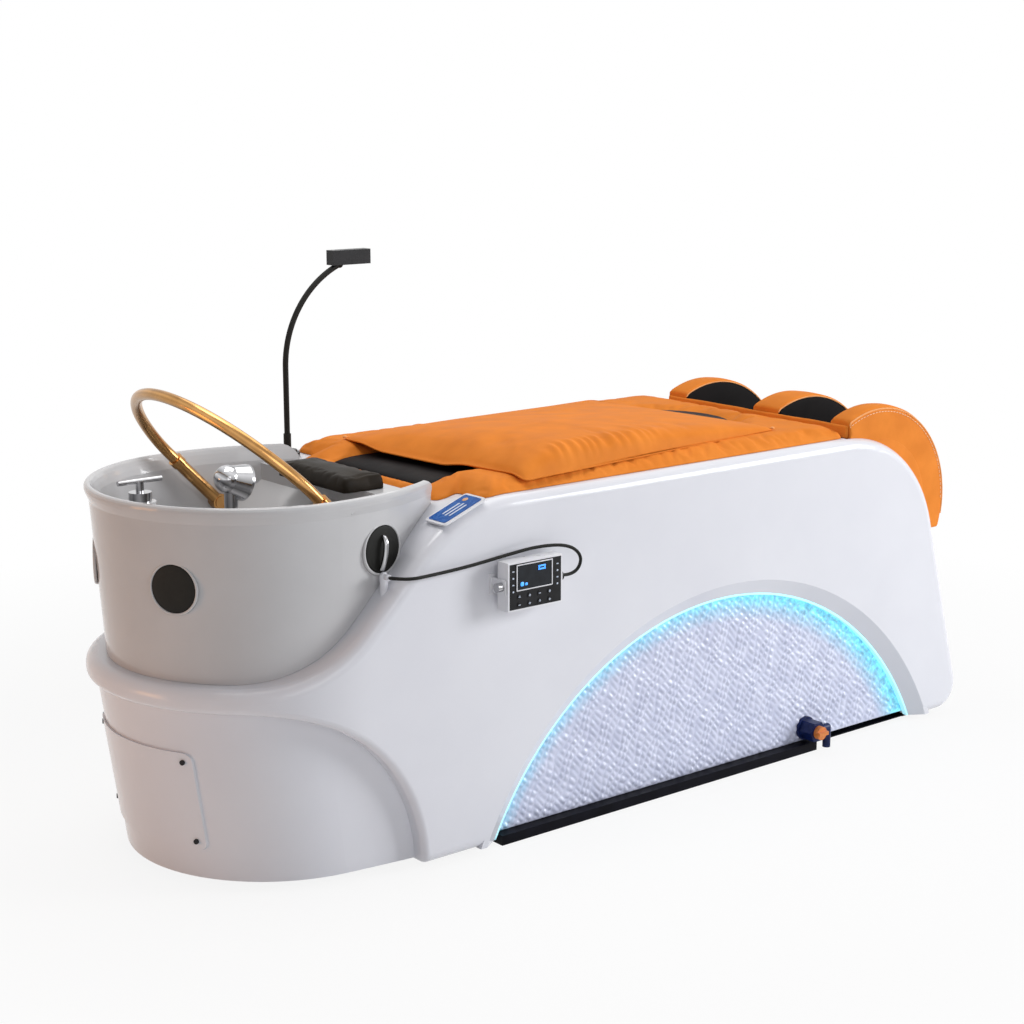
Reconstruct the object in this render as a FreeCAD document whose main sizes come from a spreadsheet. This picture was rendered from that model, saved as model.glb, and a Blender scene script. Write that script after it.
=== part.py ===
import FreeCAD, Part
import math
import os
import re
from FreeCAD import Placement, Rotation, Vector

# Head-spa treatment bed. Millimetres. +X runs from the wash basin to the foot end,
# +Y is the far long side, +Z is up, and the floor is Z = 0 under the middle of the bed.

doc = FreeCAD.newDocument("treatment_bed")
sheet = doc.addObject("Spreadsheet::Sheet", "sizes")

# Sizes on the sheet: driving numbers first in each group, then cells worked out from them.
SIZES = (
    # moulded body
    ("bed_length", "2040"),
    ("bed_width", "700"),
    ("deck_height", "700"),
    ("ground_gap", "12"),
    ("wall", "12"),
    ("edge_round", "24"),
    ("half_width", "=bed_width / 2"),
    ("nose_x", "=bed_length / -2"),
    ("foot_x", "=bed_length / 2"),
    ("ledge_height", "=deck_height - 298"),
    ("lip_height", "45"),
    ("lip_bottom", "=ledge_height - lip_height"),
    ("lip_round", "14"),
    ("ramp_start_x", "=nose_x + 130"),
    ("ramp_run", "550"),
    ("ramp_end_x", "=ramp_start_x + ramp_run"),
    ("ramp_radius", "=(ramp_run - deck_height + ledge_height) / (2 * sqrt(2) - 2)"),
    ("foot_radius", "300"),
    ("foot_lean", "16"),
    ("foot_corner", "60"),
    ("foot_arc_x", "=foot_x - 404"),
    ("skirt_nose", "66"),
    ("skirt_draft", "50"),
    ("skirt_radius", "300"),
    ("skirt_reach", "1000"),
    ("skirt_lift", "8"),
    ("skirt_arch_x", "=nose_x + 120"),
    # lit arch in each long side
    ("arch_head_gap", "613"),
    ("arch_foot_gap", "113"),
    ("arch_height", "422"),
    ("arch_half", "=(bed_length - arch_head_gap - arch_foot_gap) / 2"),
    ("arch_start_x", "=nose_x + arch_head_gap"),
    ("arch_end_x", "=foot_x - arch_foot_gap"),
    ("arch_x", "=arch_start_x + arch_half"),
    ("arch_radius", "=(arch_half * arch_half + arch_height * arch_height) / (2 * arch_height)"),
    ("arch_z", "=ground_gap + arch_height - arch_radius"),
    ("arch_bevel", "32"),
    ("arch_bevel_depth", "22"),
    ("arch_recess", "36"),
    ("panel_thickness", "6"),
    ("panel_radius", "=arch_radius - arch_bevel"),
    ("panel_y", "=half_width - arch_recess"),
    # service cover on the nose
    ("cover_width", "336"),
    ("cover_height", "194"),
    ("cover_z", "=ground_gap + 163"),
    ("cover_thickness", "4"),
    ("cover_round", "16"),
    ("screw_radius", "5"),
    # underframe
    ("rail_height", "20"),
    ("pan_thickness", "3"),
    ("pan_half_width", "=half_width - 50"),
    ("shelf_half_width", "170"),
    # wash basin
    ("basin_radius", "308"),
    ("basin_foot_radius", "286"),
    ("basin_wall", "13"),
    ("basin_floor", "16"),
    ("basin_x", "=nose_x + 323"),
    ("rim_height", "=deck_height + 31"),
    ("horn_x", "=basin_x + 249"),
    ("horn_half", "=basin_radius - 73"),
    ("neck_height", "=deck_height - 5"),
    ("rim_overhang", "8"),
    ("rim_flare", "11"),
    ("horn_round", "34"),
    ("port_radius", "45"),
    ("port_depth", "5"),
    ("nose_port_z", "=ledge_height + 177"),
    ("side_port_z", "=deck_height - 74"),
    ("drain_x", "=basin_x - 195"),
    ("drain_y", "-70"),
    ("drain_bore", "20"),
    # water fittings
    ("tap_x", "=basin_x - 186"),
    ("tap_y", "100"),
    ("tap_top", "=deck_height - 12"),
    ("tap_radius", "30"),
    ("shower_x", "=basin_x - 19"),
    ("shower_y", "50"),
    ("shower_z", "=deck_height - 100"),
    ("hoop_x", "=basin_x + 77"),
    ("hoop_z", "=side_port_z"),
    ("hoop_half", "=basin_radius - 46"),
    ("hoop_reach", "385"),
    ("hoop_tilt", "45.8"),
    ("hoop_leg", "158"),
    ("hoop_corner", "132"),
    ("hoop_tube", "11"),
    ("pivot_radius", "8"),
    # cushions
    ("mattress_head_x", "=ramp_end_x - 55"),
    ("mattress_foot_x", "=leg_x - 107"),
    ("mattress_half", "=half_width - 25"),
    ("mattress_edge", "20"),
    ("mattress_crown", "27"),
    ("cover_half", "160"),
    ("pad_head_x", "=mattress_head_x + 79"),
    ("pad_foot_x", "=mattress_foot_x - 186"),
    ("pad_half", "=mattress_half - 48.5"),
    ("pad_y", "-20"),
    ("pad_turn", "4.4"),
    ("pad_z", "=deck_height + mattress_crown + 0.6"),
    ("pad_edge", "11"),
    ("pad_crown", "45"),
    ("pillow_length", "96"),
    ("pillow_half", "120"),
    ("pillow_height", "29"),
    # massage drive under the deck opening
    ("slot_half", "150"),
    ("slot_head_x", "=ramp_end_x + 25"),
    ("slot_foot_x", "=mattress_foot_x - 98"),
    ("rail_y", "120"),
    ("rail_z", "=deck_height - 60"),
    ("rail_radius", "8"),
    ("carriage_x", "=slot_head_x + 180"),
    ("carriage_length", "130"),
    ("roller_radius", "20"),
    ("roller_z", "=deck_height - 26"),
    # leg unit
    ("leg_x", "=foot_x - 295"),
    ("leg_z", "=deck_height - 173"),
    ("leg_radius", "236"),
    ("leg_core_radius", "150"),
    ("leg_half", "=half_width - 22"),
    ("leg_face", "100"),
    ("leg_wall", "60"),
    ("middle_wall", "80"),
    ("middle_wall_y", "=-0.23 * leg_half"),
    ("rear_wall_y", "=0.655 * leg_half"),
    ("core_shell", "12"),
    ("axle_radius", "16"),
    # controller on the front side
    ("control_x", "=mattress_head_x + 69"),
    ("control_z", "=deck_height - 162"),
    ("control_length", "132"),
    ("control_height", "94"),
    ("control_depth", "32"),
    ("control_axis_y", "=-half_width - 32"),
    ("button_radius", "4.5"),
    # keypad on the front shoulder
    ("keypad_length", "106"),
    ("keypad_width", "64"),
    ("keypad_x", "=ramp_end_x - 109"),
    ("keypad_y", "=37 - half_width"),
    # phone arm on the rear shoulder
    ("arm_x", "=ramp_end_x - 88"),
    ("arm_y", "=half_width - 50"),
    ("arm_rise", "180"),
    ("arm_bend", "224"),
    ("arm_tube", "6"),
    # drain valve low on the front side
    ("valve_x", "=arch_x + 277"),
    ("valve_z", "50"),
    ("cord_diameter", "6.5"),
)
for row, (alias, text) in enumerate(SIZES, start=1):
    sheet.set("A%d" % row, alias)
    sheet.setAlias("B%d" % row, alias)
for row, (alias, text) in enumerate(SIZES, start=1):
    sheet.set("B%d" % row, text)
doc.recompute()
NAMES = {alias for alias, text in SIZES}


class Sizes:
    """The sheet's cells as plain numbers, for the forms made in code."""


size = Sizes()
for alias in NAMES:
    setattr(size, alias, float(sheet.get(alias)))

ALONG_X = Rotation(Vector(0, 1, 0), 90)
ALONG_Y = Rotation(Vector(1, 0, 0), -90)
UPRIGHT = Rotation()


def bound(text):
    """An expression with every size name pointed at the sheet."""
    return re.sub(r"[a-z][a-z_]+", lambda word: "sizes." + word.group(0) if word.group(0) in NAMES
                  else word.group(0), text)


def block(name, x, y, z, length, width, height):
    """A box from its low corner, every size an expression."""
    piece = doc.addObject("Part::Box", name)
    for prop, text in (("Length", length), ("Width", width), ("Height", height),
                       ("Placement.Base.x", x), ("Placement.Base.y", y), ("Placement.Base.z", z)):
        piece.setExpression(prop, bound(text))
    return piece


def rod(name, x, y, z, radius, length, turn=UPRIGHT):
    """A cylinder from the centre of its first end, every size an expression."""
    piece = doc.addObject("Part::Cylinder", name)
    piece.Placement = Placement(Vector(), turn)
    for prop, text in (("Radius", radius), ("Height", length),
                       ("Placement.Base.x", x), ("Placement.Base.y", y), ("Placement.Base.z", z)):
        piece.setExpression(prop, bound(text))
    return piece


def joined(name, *pieces):
    fused = doc.addObject("Part::MultiFuse", name)
    fused.Shapes = list(pieces)
    return fused


def minus(name, base, *tools):
    tool = tools[0]
    if len(tools) > 1:
        tool = joined(name + " tools", *tools)
    result = doc.addObject("Part::Cut", name)
    result.Base = base
    result.Tool = tool
    return result


def common(name, first, second):
    result = doc.addObject("Part::MultiCommon", name)
    result.Shapes = [first, second]
    return result


def form(name, shape):
    result = doc.addObject("Part::Feature", name)
    result.Shape = shape
    return result


def cylinder(start, radius, length, axis):
    return Part.makeCylinder(radius, length, start, axis)


def cuboid(x0, x1, y0, y1, z0, z1):
    return Part.makeBox(x1 - x0, y1 - y0, z1 - z0, Vector(x0, y0, z0))


def around(centre, radius, angle):
    """A point of the XZ plane at an angle around a centre."""
    turn = math.radians(angle)
    return Vector(centre[0] + radius * math.cos(turn), 0, centre[1] + radius * math.sin(turn))


def outline(steps):
    """A closed face from corner points and arcs (centre, radius, first angle, last angle)."""
    edges = []
    last = None
    for step in steps:
        start = step if isinstance(step, Vector) else around(step[0], step[1], step[2])
        if last is not None and (start - last).Length > 1e-6:
            edges.append(Part.makeLine(last, start))
        last = start
        if not isinstance(step, Vector):
            centre, radius, first, final = step
            middle = around(centre, radius, (first + final) / 2)
            last = around(centre, radius, final)
            edges.append(Part.Arc(start, middle, last).toShape())
    edges.append(Part.makeLine(last, edges[0].Vertexes[0].Point))
    return Part.Face(Part.Wire(edges))


def across(face, half):
    """A face of the XZ plane swept to both sides in Y."""
    moved = face.copy()
    moved.translate(Vector(0, -half, 0))
    return moved.extrude(Vector(0, 2 * half, 0))


# Moulded body: a side profile and a plan shared by the outside, the inside and the basin's seat.
def ramp_arcs(inset):
    low = (size.ramp_start_x, size.ledge_height + size.ramp_radius)
    high = (size.ramp_end_x, size.deck_height - size.ramp_radius)
    return [(low, size.ramp_radius + inset, -90, -45), (high, size.ramp_radius - inset, 135, 90)]


def side_profile(inset):
    left = size.nose_x - size.wall
    lean = math.radians(size.foot_lean)
    foot = (size.foot_arc_x, size.deck_height - size.foot_radius)
    shoulder = around(foot, size.foot_radius, size.foot_lean)
    corner_z = size.ground_gap + size.foot_corner
    slide = (shoulder.z - size.foot_corner * math.sin(lean) - corner_z) / math.cos(lean)
    corner_x = shoulder.x - size.foot_corner * math.cos(lean) + slide * math.sin(lean)
    rise = size.lip_bottom - size.ground_gap + inset
    floor = size.ground_gap - 3 * inset
    steps = [Vector(left, 0, size.lip_bottom + inset), Vector(left, 0, size.ledge_height - inset)]
    steps += ramp_arcs(inset)
    steps += [(foot, size.foot_radius - inset, 90, size.foot_lean),
              ((corner_x, corner_z), size.foot_corner - inset, size.foot_lean, -90),
              Vector(corner_x, 0, floor),
              Vector(size.skirt_arch_x + rise, 0, floor),
              ((size.skirt_arch_x, size.ground_gap), rise, 0, 90)]
    return outline(steps)


def body_plan(inset):
    half = size.half_width - inset
    centre = size.nose_x + size.half_width
    end = size.foot_x + size.foot_corner
    nose = Part.Arc(Vector(centre, half, 0), Vector(centre - half, 0, 0), Vector(centre, -half, 0))
    corners = [Vector(centre, -half, 0), Vector(end, -half, 0), Vector(end, half, 0), Vector(centre, half, 0)]
    sides = [Part.makeLine(first, second) for first, second in zip(corners, corners[1:])]
    return Part.Face(Part.Wire([nose.toShape()] + sides))


def main_body(inset):
    plan = body_plan(inset)
    plan.translate(Vector(0, 0, -size.deck_height))
    column = plan.extrude(Vector(0, 0, 3 * size.deck_height))
    return across(side_profile(inset), size.bed_width).common(column)


def skirt_outline(inset, nose, z):
    """Bullet-shaped plan of the recessed nose: a nose arc and two long side arcs."""
    half = size.half_width - 6
    reach = size.nose_x + size.skirt_reach
    end = size.ramp_end_x - 60
    centre = nose + size.skirt_radius
    run = reach - centre
    side = (run ** 2 + half ** 2 - size.skirt_radius ** 2) / (2 * (half - size.skirt_radius))
    turn = math.atan2(side - half, -run)
    tip = size.skirt_radius - inset
    bow = side - inset

    def side_point(angle, sign):
        return Vector(reach + bow * math.cos(angle), sign * (half - side + bow * math.sin(angle)), z)

    last = math.acos((end - reach) / bow)
    joint = Vector(centre + tip * math.cos(turn), tip * math.sin(turn), z)
    other = Vector(joint.x, -joint.y, z)
    nose_arc = Part.Arc(other, Vector(centre - tip, 0, z), joint)
    upper = Part.Arc(joint, side_point((turn + last) / 2, 1), side_point(last, 1))
    back = Part.makeLine(side_point(last, 1), side_point(last, -1))
    lower = Part.Arc(side_point(last, -1), side_point((turn + last) / 2, -1), other)
    return Part.Wire([nose_arc.toShape(), upper.toShape(), back, lower.toShape()])


def skirt_nose_at(z):
    share = (z - size.ground_gap) / (size.lip_bottom - size.ground_gap)
    return size.nose_x + size.skirt_nose - size.skirt_draft * share


def skirt(inset):
    low = size.ground_gap + size.skirt_lift - 2 * max(inset, 0)
    high = size.lip_bottom + max(inset, 0) + 1
    wires = [skirt_outline(inset, skirt_nose_at(z), z) for z in (low, high)]
    return Part.makeLoft(wires, True, True)


def on_plan_edge(point):
    centre = size.nose_x + size.half_width
    if point.x < centre:
        return abs(math.hypot(point.x - centre, point.y) - size.half_width) < 0.01
    return abs(abs(point.y) - size.half_width) < 0.01


def outer_edges(shape, lower):
    """Edges around the body's sides: the lip and skirt-arch chain, or the top and foot chain."""
    found = []
    for edge in shape.Edges:
        middle = edge.valueAt((edge.FirstParameter + edge.LastParameter) / 2)
        ends = [vertex.Point for vertex in edge.Vertexes]
        upright = math.hypot(ends[0].x - ends[-1].x, ends[0].y - ends[-1].y) < 1e-6
        if not on_plan_edge(middle) or middle.z < size.ground_gap + 1 or upright:
            continue
        if (middle.z < size.lip_bottom + 1 and middle.x < 0) == lower:
            found.append(edge)
    return found


def arch_ring(sign, outer, inner, near, far):
    """Ring around one arch between two distances from the bed's middle plane."""
    axis = Vector(0, sign, 0)
    start = Vector(size.arch_x, sign * near, size.arch_z)
    ring = cylinder(start, outer, far - near, axis)
    if inner:
        ring = ring.cut(cylinder(start, inner, far - near, axis))
    reach = 2 * size.arch_radius
    keep = cuboid(size.arch_x - reach, size.arch_x + reach, -reach, reach, size.ground_gap, reach)
    return ring.common(keep)


outer = main_body(0)
outer = outer.makeFillet(size.edge_round, outer_edges(outer, False))
outer = outer.makeFillet(size.lip_round, outer_edges(outer, True))
shell = outer.fuse(skirt(0)).cut(main_body(size.wall).fuse(skirt(size.wall)))
for sign in (-1, 1):
    flange = arch_ring(sign, size.arch_radius + size.wall, size.panel_radius,
                       size.panel_y - size.wall, size.half_width - 1)
    shell = shell.fuse(flange)
    shell = shell.cut(arch_ring(sign, size.panel_radius, 0, size.panel_y - size.wall, size.half_width + 5))
    bevel = Part.makeCone(size.panel_radius, size.arch_radius, size.arch_bevel_depth,
                          Vector(size.arch_x, sign * (size.half_width - size.arch_bevel_depth), size.arch_z),
                          Vector(0, sign, 0))
    shell = shell.cut(bevel)
drum = cylinder(Vector(size.leg_x, -size.leg_half - 4, size.leg_z), size.leg_radius + 6,
                2 * size.leg_half + 8, Vector(0, 1, 0))
foot_bay = cuboid(size.mattress_foot_x - 6, size.foot_x + 100, -size.half_width, size.half_width,
                  0, 2 * size.deck_height)
slot = cuboid(size.slot_head_x, size.slot_foot_x, -size.slot_half, size.slot_half,
              size.deck_height - 2 * size.wall, size.deck_height + 50)
hatch = cuboid(size.nose_x - 50, size.nose_x + 200, 15 - size.cover_width / 2, size.cover_width / 2 - 15,
               size.cover_z - size.cover_height / 2 + 15, size.cover_z + size.cover_height / 2 - 15)
drain_hole = cylinder(Vector(size.drain_x, size.drain_y, size.ledge_height - 50), size.drain_bore, 100,
                      Vector(0, 0, 1))
arm_hole = cylinder(Vector(size.arm_x, size.arm_y, size.deck_height - 90), 20.1, 150, Vector(0, 0, 1))

# Cable outlet on the ramp, just outside the basin
OUTLET_X = size.basin_x + 83
OUTLET_Y = -size.half_width + 38
OUTLET_Z = size.ledge_height + (OUTLET_X - size.ramp_start_x) - (math.sqrt(2) - 1) * size.ramp_radius
outlet_hole = cylinder(Vector(OUTLET_X, OUTLET_Y, OUTLET_Z - 40), 8.1, 100, Vector(0, 0, 1))
shell = shell.cut([drum.common(foot_bay), slot, hatch, drain_hole, arm_hole, outlet_hole])
form("base_shell", shell)

# Underframe: a floor pan with cross beams and a black kick rail in each arch
pan = block("pan", "arch_start_x", "-pan_half_width", "0", "2 * arch_half + 38",
            "2 * pan_half_width", "pan_thickness")
shelf = block("tank shelf", "arch_start_x - 213", "-shelf_half_width", "0", "214",
              "2 * shelf_half_width", "pan_thickness")
beams = []
for number, start in enumerate(("arch_start_x + 1", "arch_end_x - 27")):
    beams.append(block("cross beam %d" % number, start, "wall + 0.2 - panel_y", "0", "26",
                       "2 * (panel_y - wall - 0.2)", "2 * rail_height"))
for number, start in enumerate(("1 - half_width + wall", "pan_half_width - 1")):
    beams.append(block("kick rail %d" % number, "arch_start_x + 49", start, "0",
                       "valve_x - arch_start_x - 31", "half_width - wall - pan_half_width", "rail_height"))
joined("underframe", pan, shelf, *beams)

# Lit panels and light strips
for name, sign, low in (("front_light_panel", -1, "-panel_y"),
                        ("rear_light_panel", 1, "panel_y - panel_thickness")):
    disc = rod(name + " disc", "arch_x", low, "arch_z", "panel_radius - 0.3", "panel_thickness", ALONG_Y)
    keep = block(name + " keep", "arch_x - arch_radius", low, "rail_height", "2 * arch_radius",
                 "panel_thickness", "arch_radius")
    if sign < 0:
        panel = common(name + " blank", disc, keep)
        bore = rod(name + " bore", "valve_x", "-half_width", "valve_z", "18.2", "half_width", ALONG_Y)
        minus(name, panel, bore)
    else:
        common(name, disc, keep)
strips = [arch_ring(sign, size.panel_radius - 0.1, size.panel_radius - 5, size.panel_y + 1,
                    size.half_width - size.arch_bevel_depth - 1) for sign in (-1, 1)]
form("light_strips", Part.makeCompound(strips))

# Service cover: a curved plate lying on the nose
cover_box = cuboid(size.nose_x - 50, size.nose_x + 250, -size.cover_width / 2, size.cover_width / 2,
                   size.cover_z - size.cover_height / 2, size.cover_z + size.cover_height / 2)
corners = [edge for edge in cover_box.Edges if edge.BoundBox.XLength > 1]
cover_box = cover_box.makeFillet(size.cover_round, corners)
plate = skirt(-0.2 - size.cover_thickness).cut(skirt(-0.2)).common(cover_box)
form("service_cover", plate)


def screw(point, normal, radius, length):
    return cylinder(point, radius, length, normal)


screws = []
for sign in (-1, 1):
    for lift in (-1, 1):
        z = size.cover_z + lift * (size.cover_height / 2 - 18)
        y = sign * (size.cover_width / 2 - 18)
        turn = math.asin(y / size.skirt_radius)
        normal = Vector(-math.cos(turn), math.sin(turn), 0)
        centre = Vector(skirt_nose_at(z) + size.skirt_radius, 0, z)
        screws.append(screw(centre + normal * (size.skirt_radius + size.cover_thickness + 0.8), normal,
                            size.screw_radius, 3))

# Wash basin: a tapered bowl with two horns, cut away over the ramp it sits on
SIDE_RADIUS = (((size.horn_x - size.basin_x) ** 2 + (size.basin_radius - size.horn_half) ** 2)
               / (2 * (size.basin_radius - size.horn_half)))


def basin_side(radius, x):
    """Half width of the basin at x for a given nose radius."""
    return radius - SIDE_RADIUS + math.sqrt(SIDE_RADIUS ** 2 - (x - size.basin_x) ** 2)


def basin_outline(radius, end, z):
    middle = (size.basin_x + end) / 2
    front = basin_side(radius, end)
    nose = Part.Arc(Vector(size.basin_x, radius, z), Vector(size.basin_x - radius, 0, z),
                    Vector(size.basin_x, -radius, z))
    near = Part.Arc(Vector(size.basin_x, -radius, z), Vector(middle, -basin_side(radius, middle), z),
                    Vector(end, -front, z))
    back = Part.makeLine(Vector(end, -front, z), Vector(end, front, z))
    far = Part.Arc(Vector(end, front, z), Vector(middle, basin_side(radius, middle), z),
                   Vector(size.basin_x, radius, z))
    return Part.Wire([nose.toShape(), near.toShape(), back, far.toShape()])


def basin_radius_at(z):
    low = size.ledge_height - 10
    share = (z - low) / (size.rim_height - 31 - low)
    return size.basin_foot_radius + share * (size.basin_radius - 1 - size.basin_foot_radius)


def ramp_block(lift):
    """Everything under the ledge, the ramp and the deck, lifted by a clearance or a floor thickness."""
    left = size.nose_x - 100
    right = size.ramp_end_x + 200
    steps = [Vector(left, 0, 0), Vector(left, 0, size.ledge_height + lift)] + ramp_arcs(-lift)
    steps += [Vector(right, 0, size.deck_height + lift), Vector(right, 0, 0)]
    return across(outline(steps), size.bed_width)


rim = size.rim_height
wall_radius = size.basin_radius - 1
room_radius = wall_radius - size.basin_wall
# Rolled rim: share of the overhang outside, or of the flare inside, and the drop below the rim
rolled = ((0, 31), (0.44, 23), (0.81, 16), (1, 10), (0.95, 5.5), (0.7, 2), (0.25, 0))
flared = ((0, 31), (0.23, 20), (0.45, 11), (0.7, 4), (1, -1))
outside = [(size.basin_foot_radius, size.ledge_height - 10)]
outside += [(wall_radius + share * size.rim_overhang, rim - drop) for share, drop in rolled]
flare = [(room_radius + share * size.rim_flare, rim - drop) for share, drop in flared]
inside = [(basin_radius_at(size.ledge_height) - size.basin_wall, size.ledge_height)] + flare
above_neck = [(basin_radius_at(size.neck_height) - size.basin_wall, size.neck_height)] + flare
basin = Part.makeLoft([basin_outline(radius, size.horn_x, z) for radius, z in outside], True, True)
horn_corner = (size.horn_x - size.horn_round, rim + 1 - size.horn_round)
left = size.nose_x - 100
horn_profile = outline([Vector(left, 0, 0), Vector(left, 0, rim + 1), (horn_corner, size.horn_round, 90, 0),
                        Vector(size.horn_x, 0, 0)])
basin = basin.common(across(horn_profile, size.bed_width)).cut(ramp_block(0.4))
bowl_end = size.horn_x - 72
bowl = Part.makeLoft([basin_outline(radius, bowl_end, z) for radius, z in inside], True, True)
bowl = bowl.cut(ramp_block(size.basin_floor))
neck = Part.makeLoft([basin_outline(radius, size.horn_x + 60, z) for radius, z in above_neck], True, True)
pillar = cylinder(Vector(size.tap_x, size.tap_y, size.ledge_height + 6), size.tap_radius,
                  size.tap_top - size.ledge_height - 6, Vector(0, 0, 1))
drain_seat = cylinder(Vector(size.drain_x, size.drain_y, size.ledge_height + size.basin_floor), 36, 40,
                      Vector(0, 0, 1))
pivot_hole = cylinder(Vector(size.hoop_x, -size.bed_width, size.hoop_z), size.pivot_radius + 0.1,
                      2 * size.bed_width, Vector(0, 1, 0))
basin = basin.cut([bowl, neck]).fuse(pillar)


def port_places():
    """Centre on the basin's outside and outward direction of each round port."""
    places = []
    nose_radius = basin_radius_at(size.nose_port_z)
    for sign in (-1, 1):
        turn = math.radians(180 - sign * 30)
        away = Vector(math.cos(turn), math.sin(turn), 0)
        places.append((Vector(size.basin_x, 0, size.nose_port_z) + away * nose_radius, away))
    side_radius = basin_radius_at(size.side_port_z)
    x = size.ramp_end_x - 264
    for sign in (-1, 1):
        turn = math.asin((x - size.basin_x) / SIDE_RADIUS)
        away = Vector(math.sin(turn), sign * math.cos(turn), 0)
        places.append((Vector(x, sign * basin_side(side_radius, x), size.side_port_z), away))
    return places


covers = []
recesses = []
for point, away in port_places():
    recesses.append(cylinder(point - away * size.port_depth, size.port_radius + 0.2, 40, away))
    covers.append(cylinder(point - away * (size.port_depth - 0.1), size.port_radius,
                           size.port_depth + 0.9, away))
basin = basin.cut([drain_seat, drain_hole, pivot_hole] + recesses)
form("wash_basin", basin)
form("port_covers", Part.makeCompound(covers))
form("fixing_screws", Part.makeCompound(screws))

# Drain fitting: strainer flange, neck and tail tube in one piece
flange = rod("drain flange", "drain_x", "drain_y", "ledge_height + basin_floor + 0.1", "34", "3")
tail = rod("drain tail", "drain_x", "drain_y", "ledge_height - 300", "drain_bore - 0.2",
           "basin_floor + 301")
bore = rod("drain bore", "drain_x", "drain_y", "ledge_height - 320", "drain_bore - 4", "400")
bars = block("drain bars", "drain_x - 3", "drain_y - drain_bore + 2", "ledge_height + basin_floor", "6",
             "2 * drain_bore - 4", "3")
joined("drain_fitting", minus("drain tube", joined("drain solid", flange, tail), bore), bars)

# Mixer on the pillar, with a T handle that turns
mixer = rod("mixer solid", "tap_x", "tap_y", "tap_top", "22", "18")
minus("mixer_body", mixer, rod("mixer bore", "tap_x", "tap_y", "tap_top + 6", "8.05", "30"))
stem = rod("handle stem", "tap_x", "tap_y", "tap_top + 6.1", "8", "33")
bar = rod("handle bar", "tap_x - 46", "tap_y", "tap_top + 39", "5", "92", ALONG_X)
joined("mixer_handle", stem, bar)

# Shower post: an arm from the far wall and a riser that feeds the swivelling head
wall_y = basin_side(basin_radius_at(size.shower_z) - size.basin_wall, size.shower_x)
arm = cylinder(Vector(size.shower_x, size.shower_y, size.shower_z), 9, wall_y - size.shower_y,
               Vector(0, 1, 0))
plate = cylinder(Vector(size.shower_x, wall_y - 8, size.shower_z), 22, 12, Vector(0, 1, 0))
bowl_room = Part.makeLoft([basin_outline(radius - 0.3, bowl_end, z) for radius, z in inside], True, True)
knuckle = Part.makeSphere(14, Vector(size.shower_x, size.shower_y, size.shower_z))
riser = cylinder(Vector(size.shower_x, size.shower_y, size.shower_z), 12, 60, Vector(0, 0, 1))
spigot = cylinder(Vector(size.shower_x, size.shower_y, size.shower_z + 60), 7, 15, Vector(0, 0, 1))
form("shower_post", arm.fuse([plate, knuckle, riser, spigot]).common(bowl_room))
head_z = size.shower_z + 60.2
handle = cylinder(Vector(size.shower_x, size.shower_y, head_z), 13, 52, Vector(0, 0, 1))
aim = Vector(math.cos(math.radians(-18)), 0, math.sin(math.radians(-18)))
crown = Vector(size.shower_x - 6, size.shower_y, head_z + 58)
bulb = Part.makeSphere(27, crown)
rose = Part.makeCone(26, 36, 34, crown, aim)
face = cylinder(crown + aim * 34, 36, 5, aim)
socket = cylinder(Vector(size.shower_x, size.shower_y, head_z - 1), 7.05, 18, Vector(0, 0, 1))
form("shower_head", handle.fuse([bulb, rose, face]).cut(socket))

# Water arch: a hoop of tube on two level pivots, leaning towards the nose
lean = math.radians(size.hoop_tilt)
UP_HOOP = Vector(-math.cos(lean), 0, math.sin(lean))


def hoop_point(side, height):
    return Vector(size.hoop_x, side, size.hoop_z) + UP_HOOP * height


flat = size.hoop_half - size.hoop_corner
top_run = size.hoop_reach - size.hoop_leg
top_radius = ((flat ** 2 + top_run ** 2 - size.hoop_corner ** 2) / (2 * (top_run - size.hoop_corner)))
top_centre = size.hoop_reach - top_radius
turn = math.atan2(size.hoop_leg - top_centre, flat)


def hoop_corner(sign, angle):
    return hoop_point(sign * (flat + size.hoop_corner * math.cos(angle)),
                      size.hoop_leg + size.hoop_corner * math.sin(angle))


path = [Part.makeLine(hoop_point(-size.hoop_half, 14), hoop_point(-size.hoop_half, size.hoop_leg)),
        Part.Arc(hoop_corner(-1, 0), hoop_corner(-1, turn / 2), hoop_corner(-1, turn)).toShape(),
        Part.Arc(hoop_corner(-1, turn), hoop_point(0, size.hoop_reach), hoop_corner(1, turn)).toShape(),
        Part.Arc(hoop_corner(1, turn), hoop_corner(1, turn / 2), hoop_corner(1, 0)).toShape(),
        Part.makeLine(hoop_point(size.hoop_half, size.hoop_leg), hoop_point(size.hoop_half, 14))]
start = hoop_point(-size.hoop_half, 14)
disc, bore_disc = [Part.Face(Part.Wire(Part.makeCircle(radius, start, UP_HOOP)))
                   for radius in (size.hoop_tube, size.hoop_tube - 1.5)]
hoop = Part.Wire(path).makePipe(disc).cut(Part.Wire(path).makePipe(bore_disc))
hubs = []
bores = []
for sign in (-1, 1):
    hubs.append(cylinder(hoop_point(sign * size.hoop_half, 0) - Vector(0, 9, 0), 17, 18, Vector(0, 1, 0)))
    hubs.append(cylinder(hoop_point(sign * size.hoop_half, 16), 13, 112, UP_HOOP))
    hubs.append(cylinder(hoop_point(sign * size.hoop_half, 124), 15, 15, UP_HOOP))
    bores.append(cylinder(hoop_point(sign * size.hoop_half, 0) - Vector(0, 20, 0),
                          size.pivot_radius + 0.05, 40, Vector(0, 1, 0)))
form("water_arch", hoop.fuse(hubs).cut(bores))
pins = []
port_floor = basin_side(basin_radius_at(size.side_port_z), size.hoop_x) - size.port_depth - 2
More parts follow.
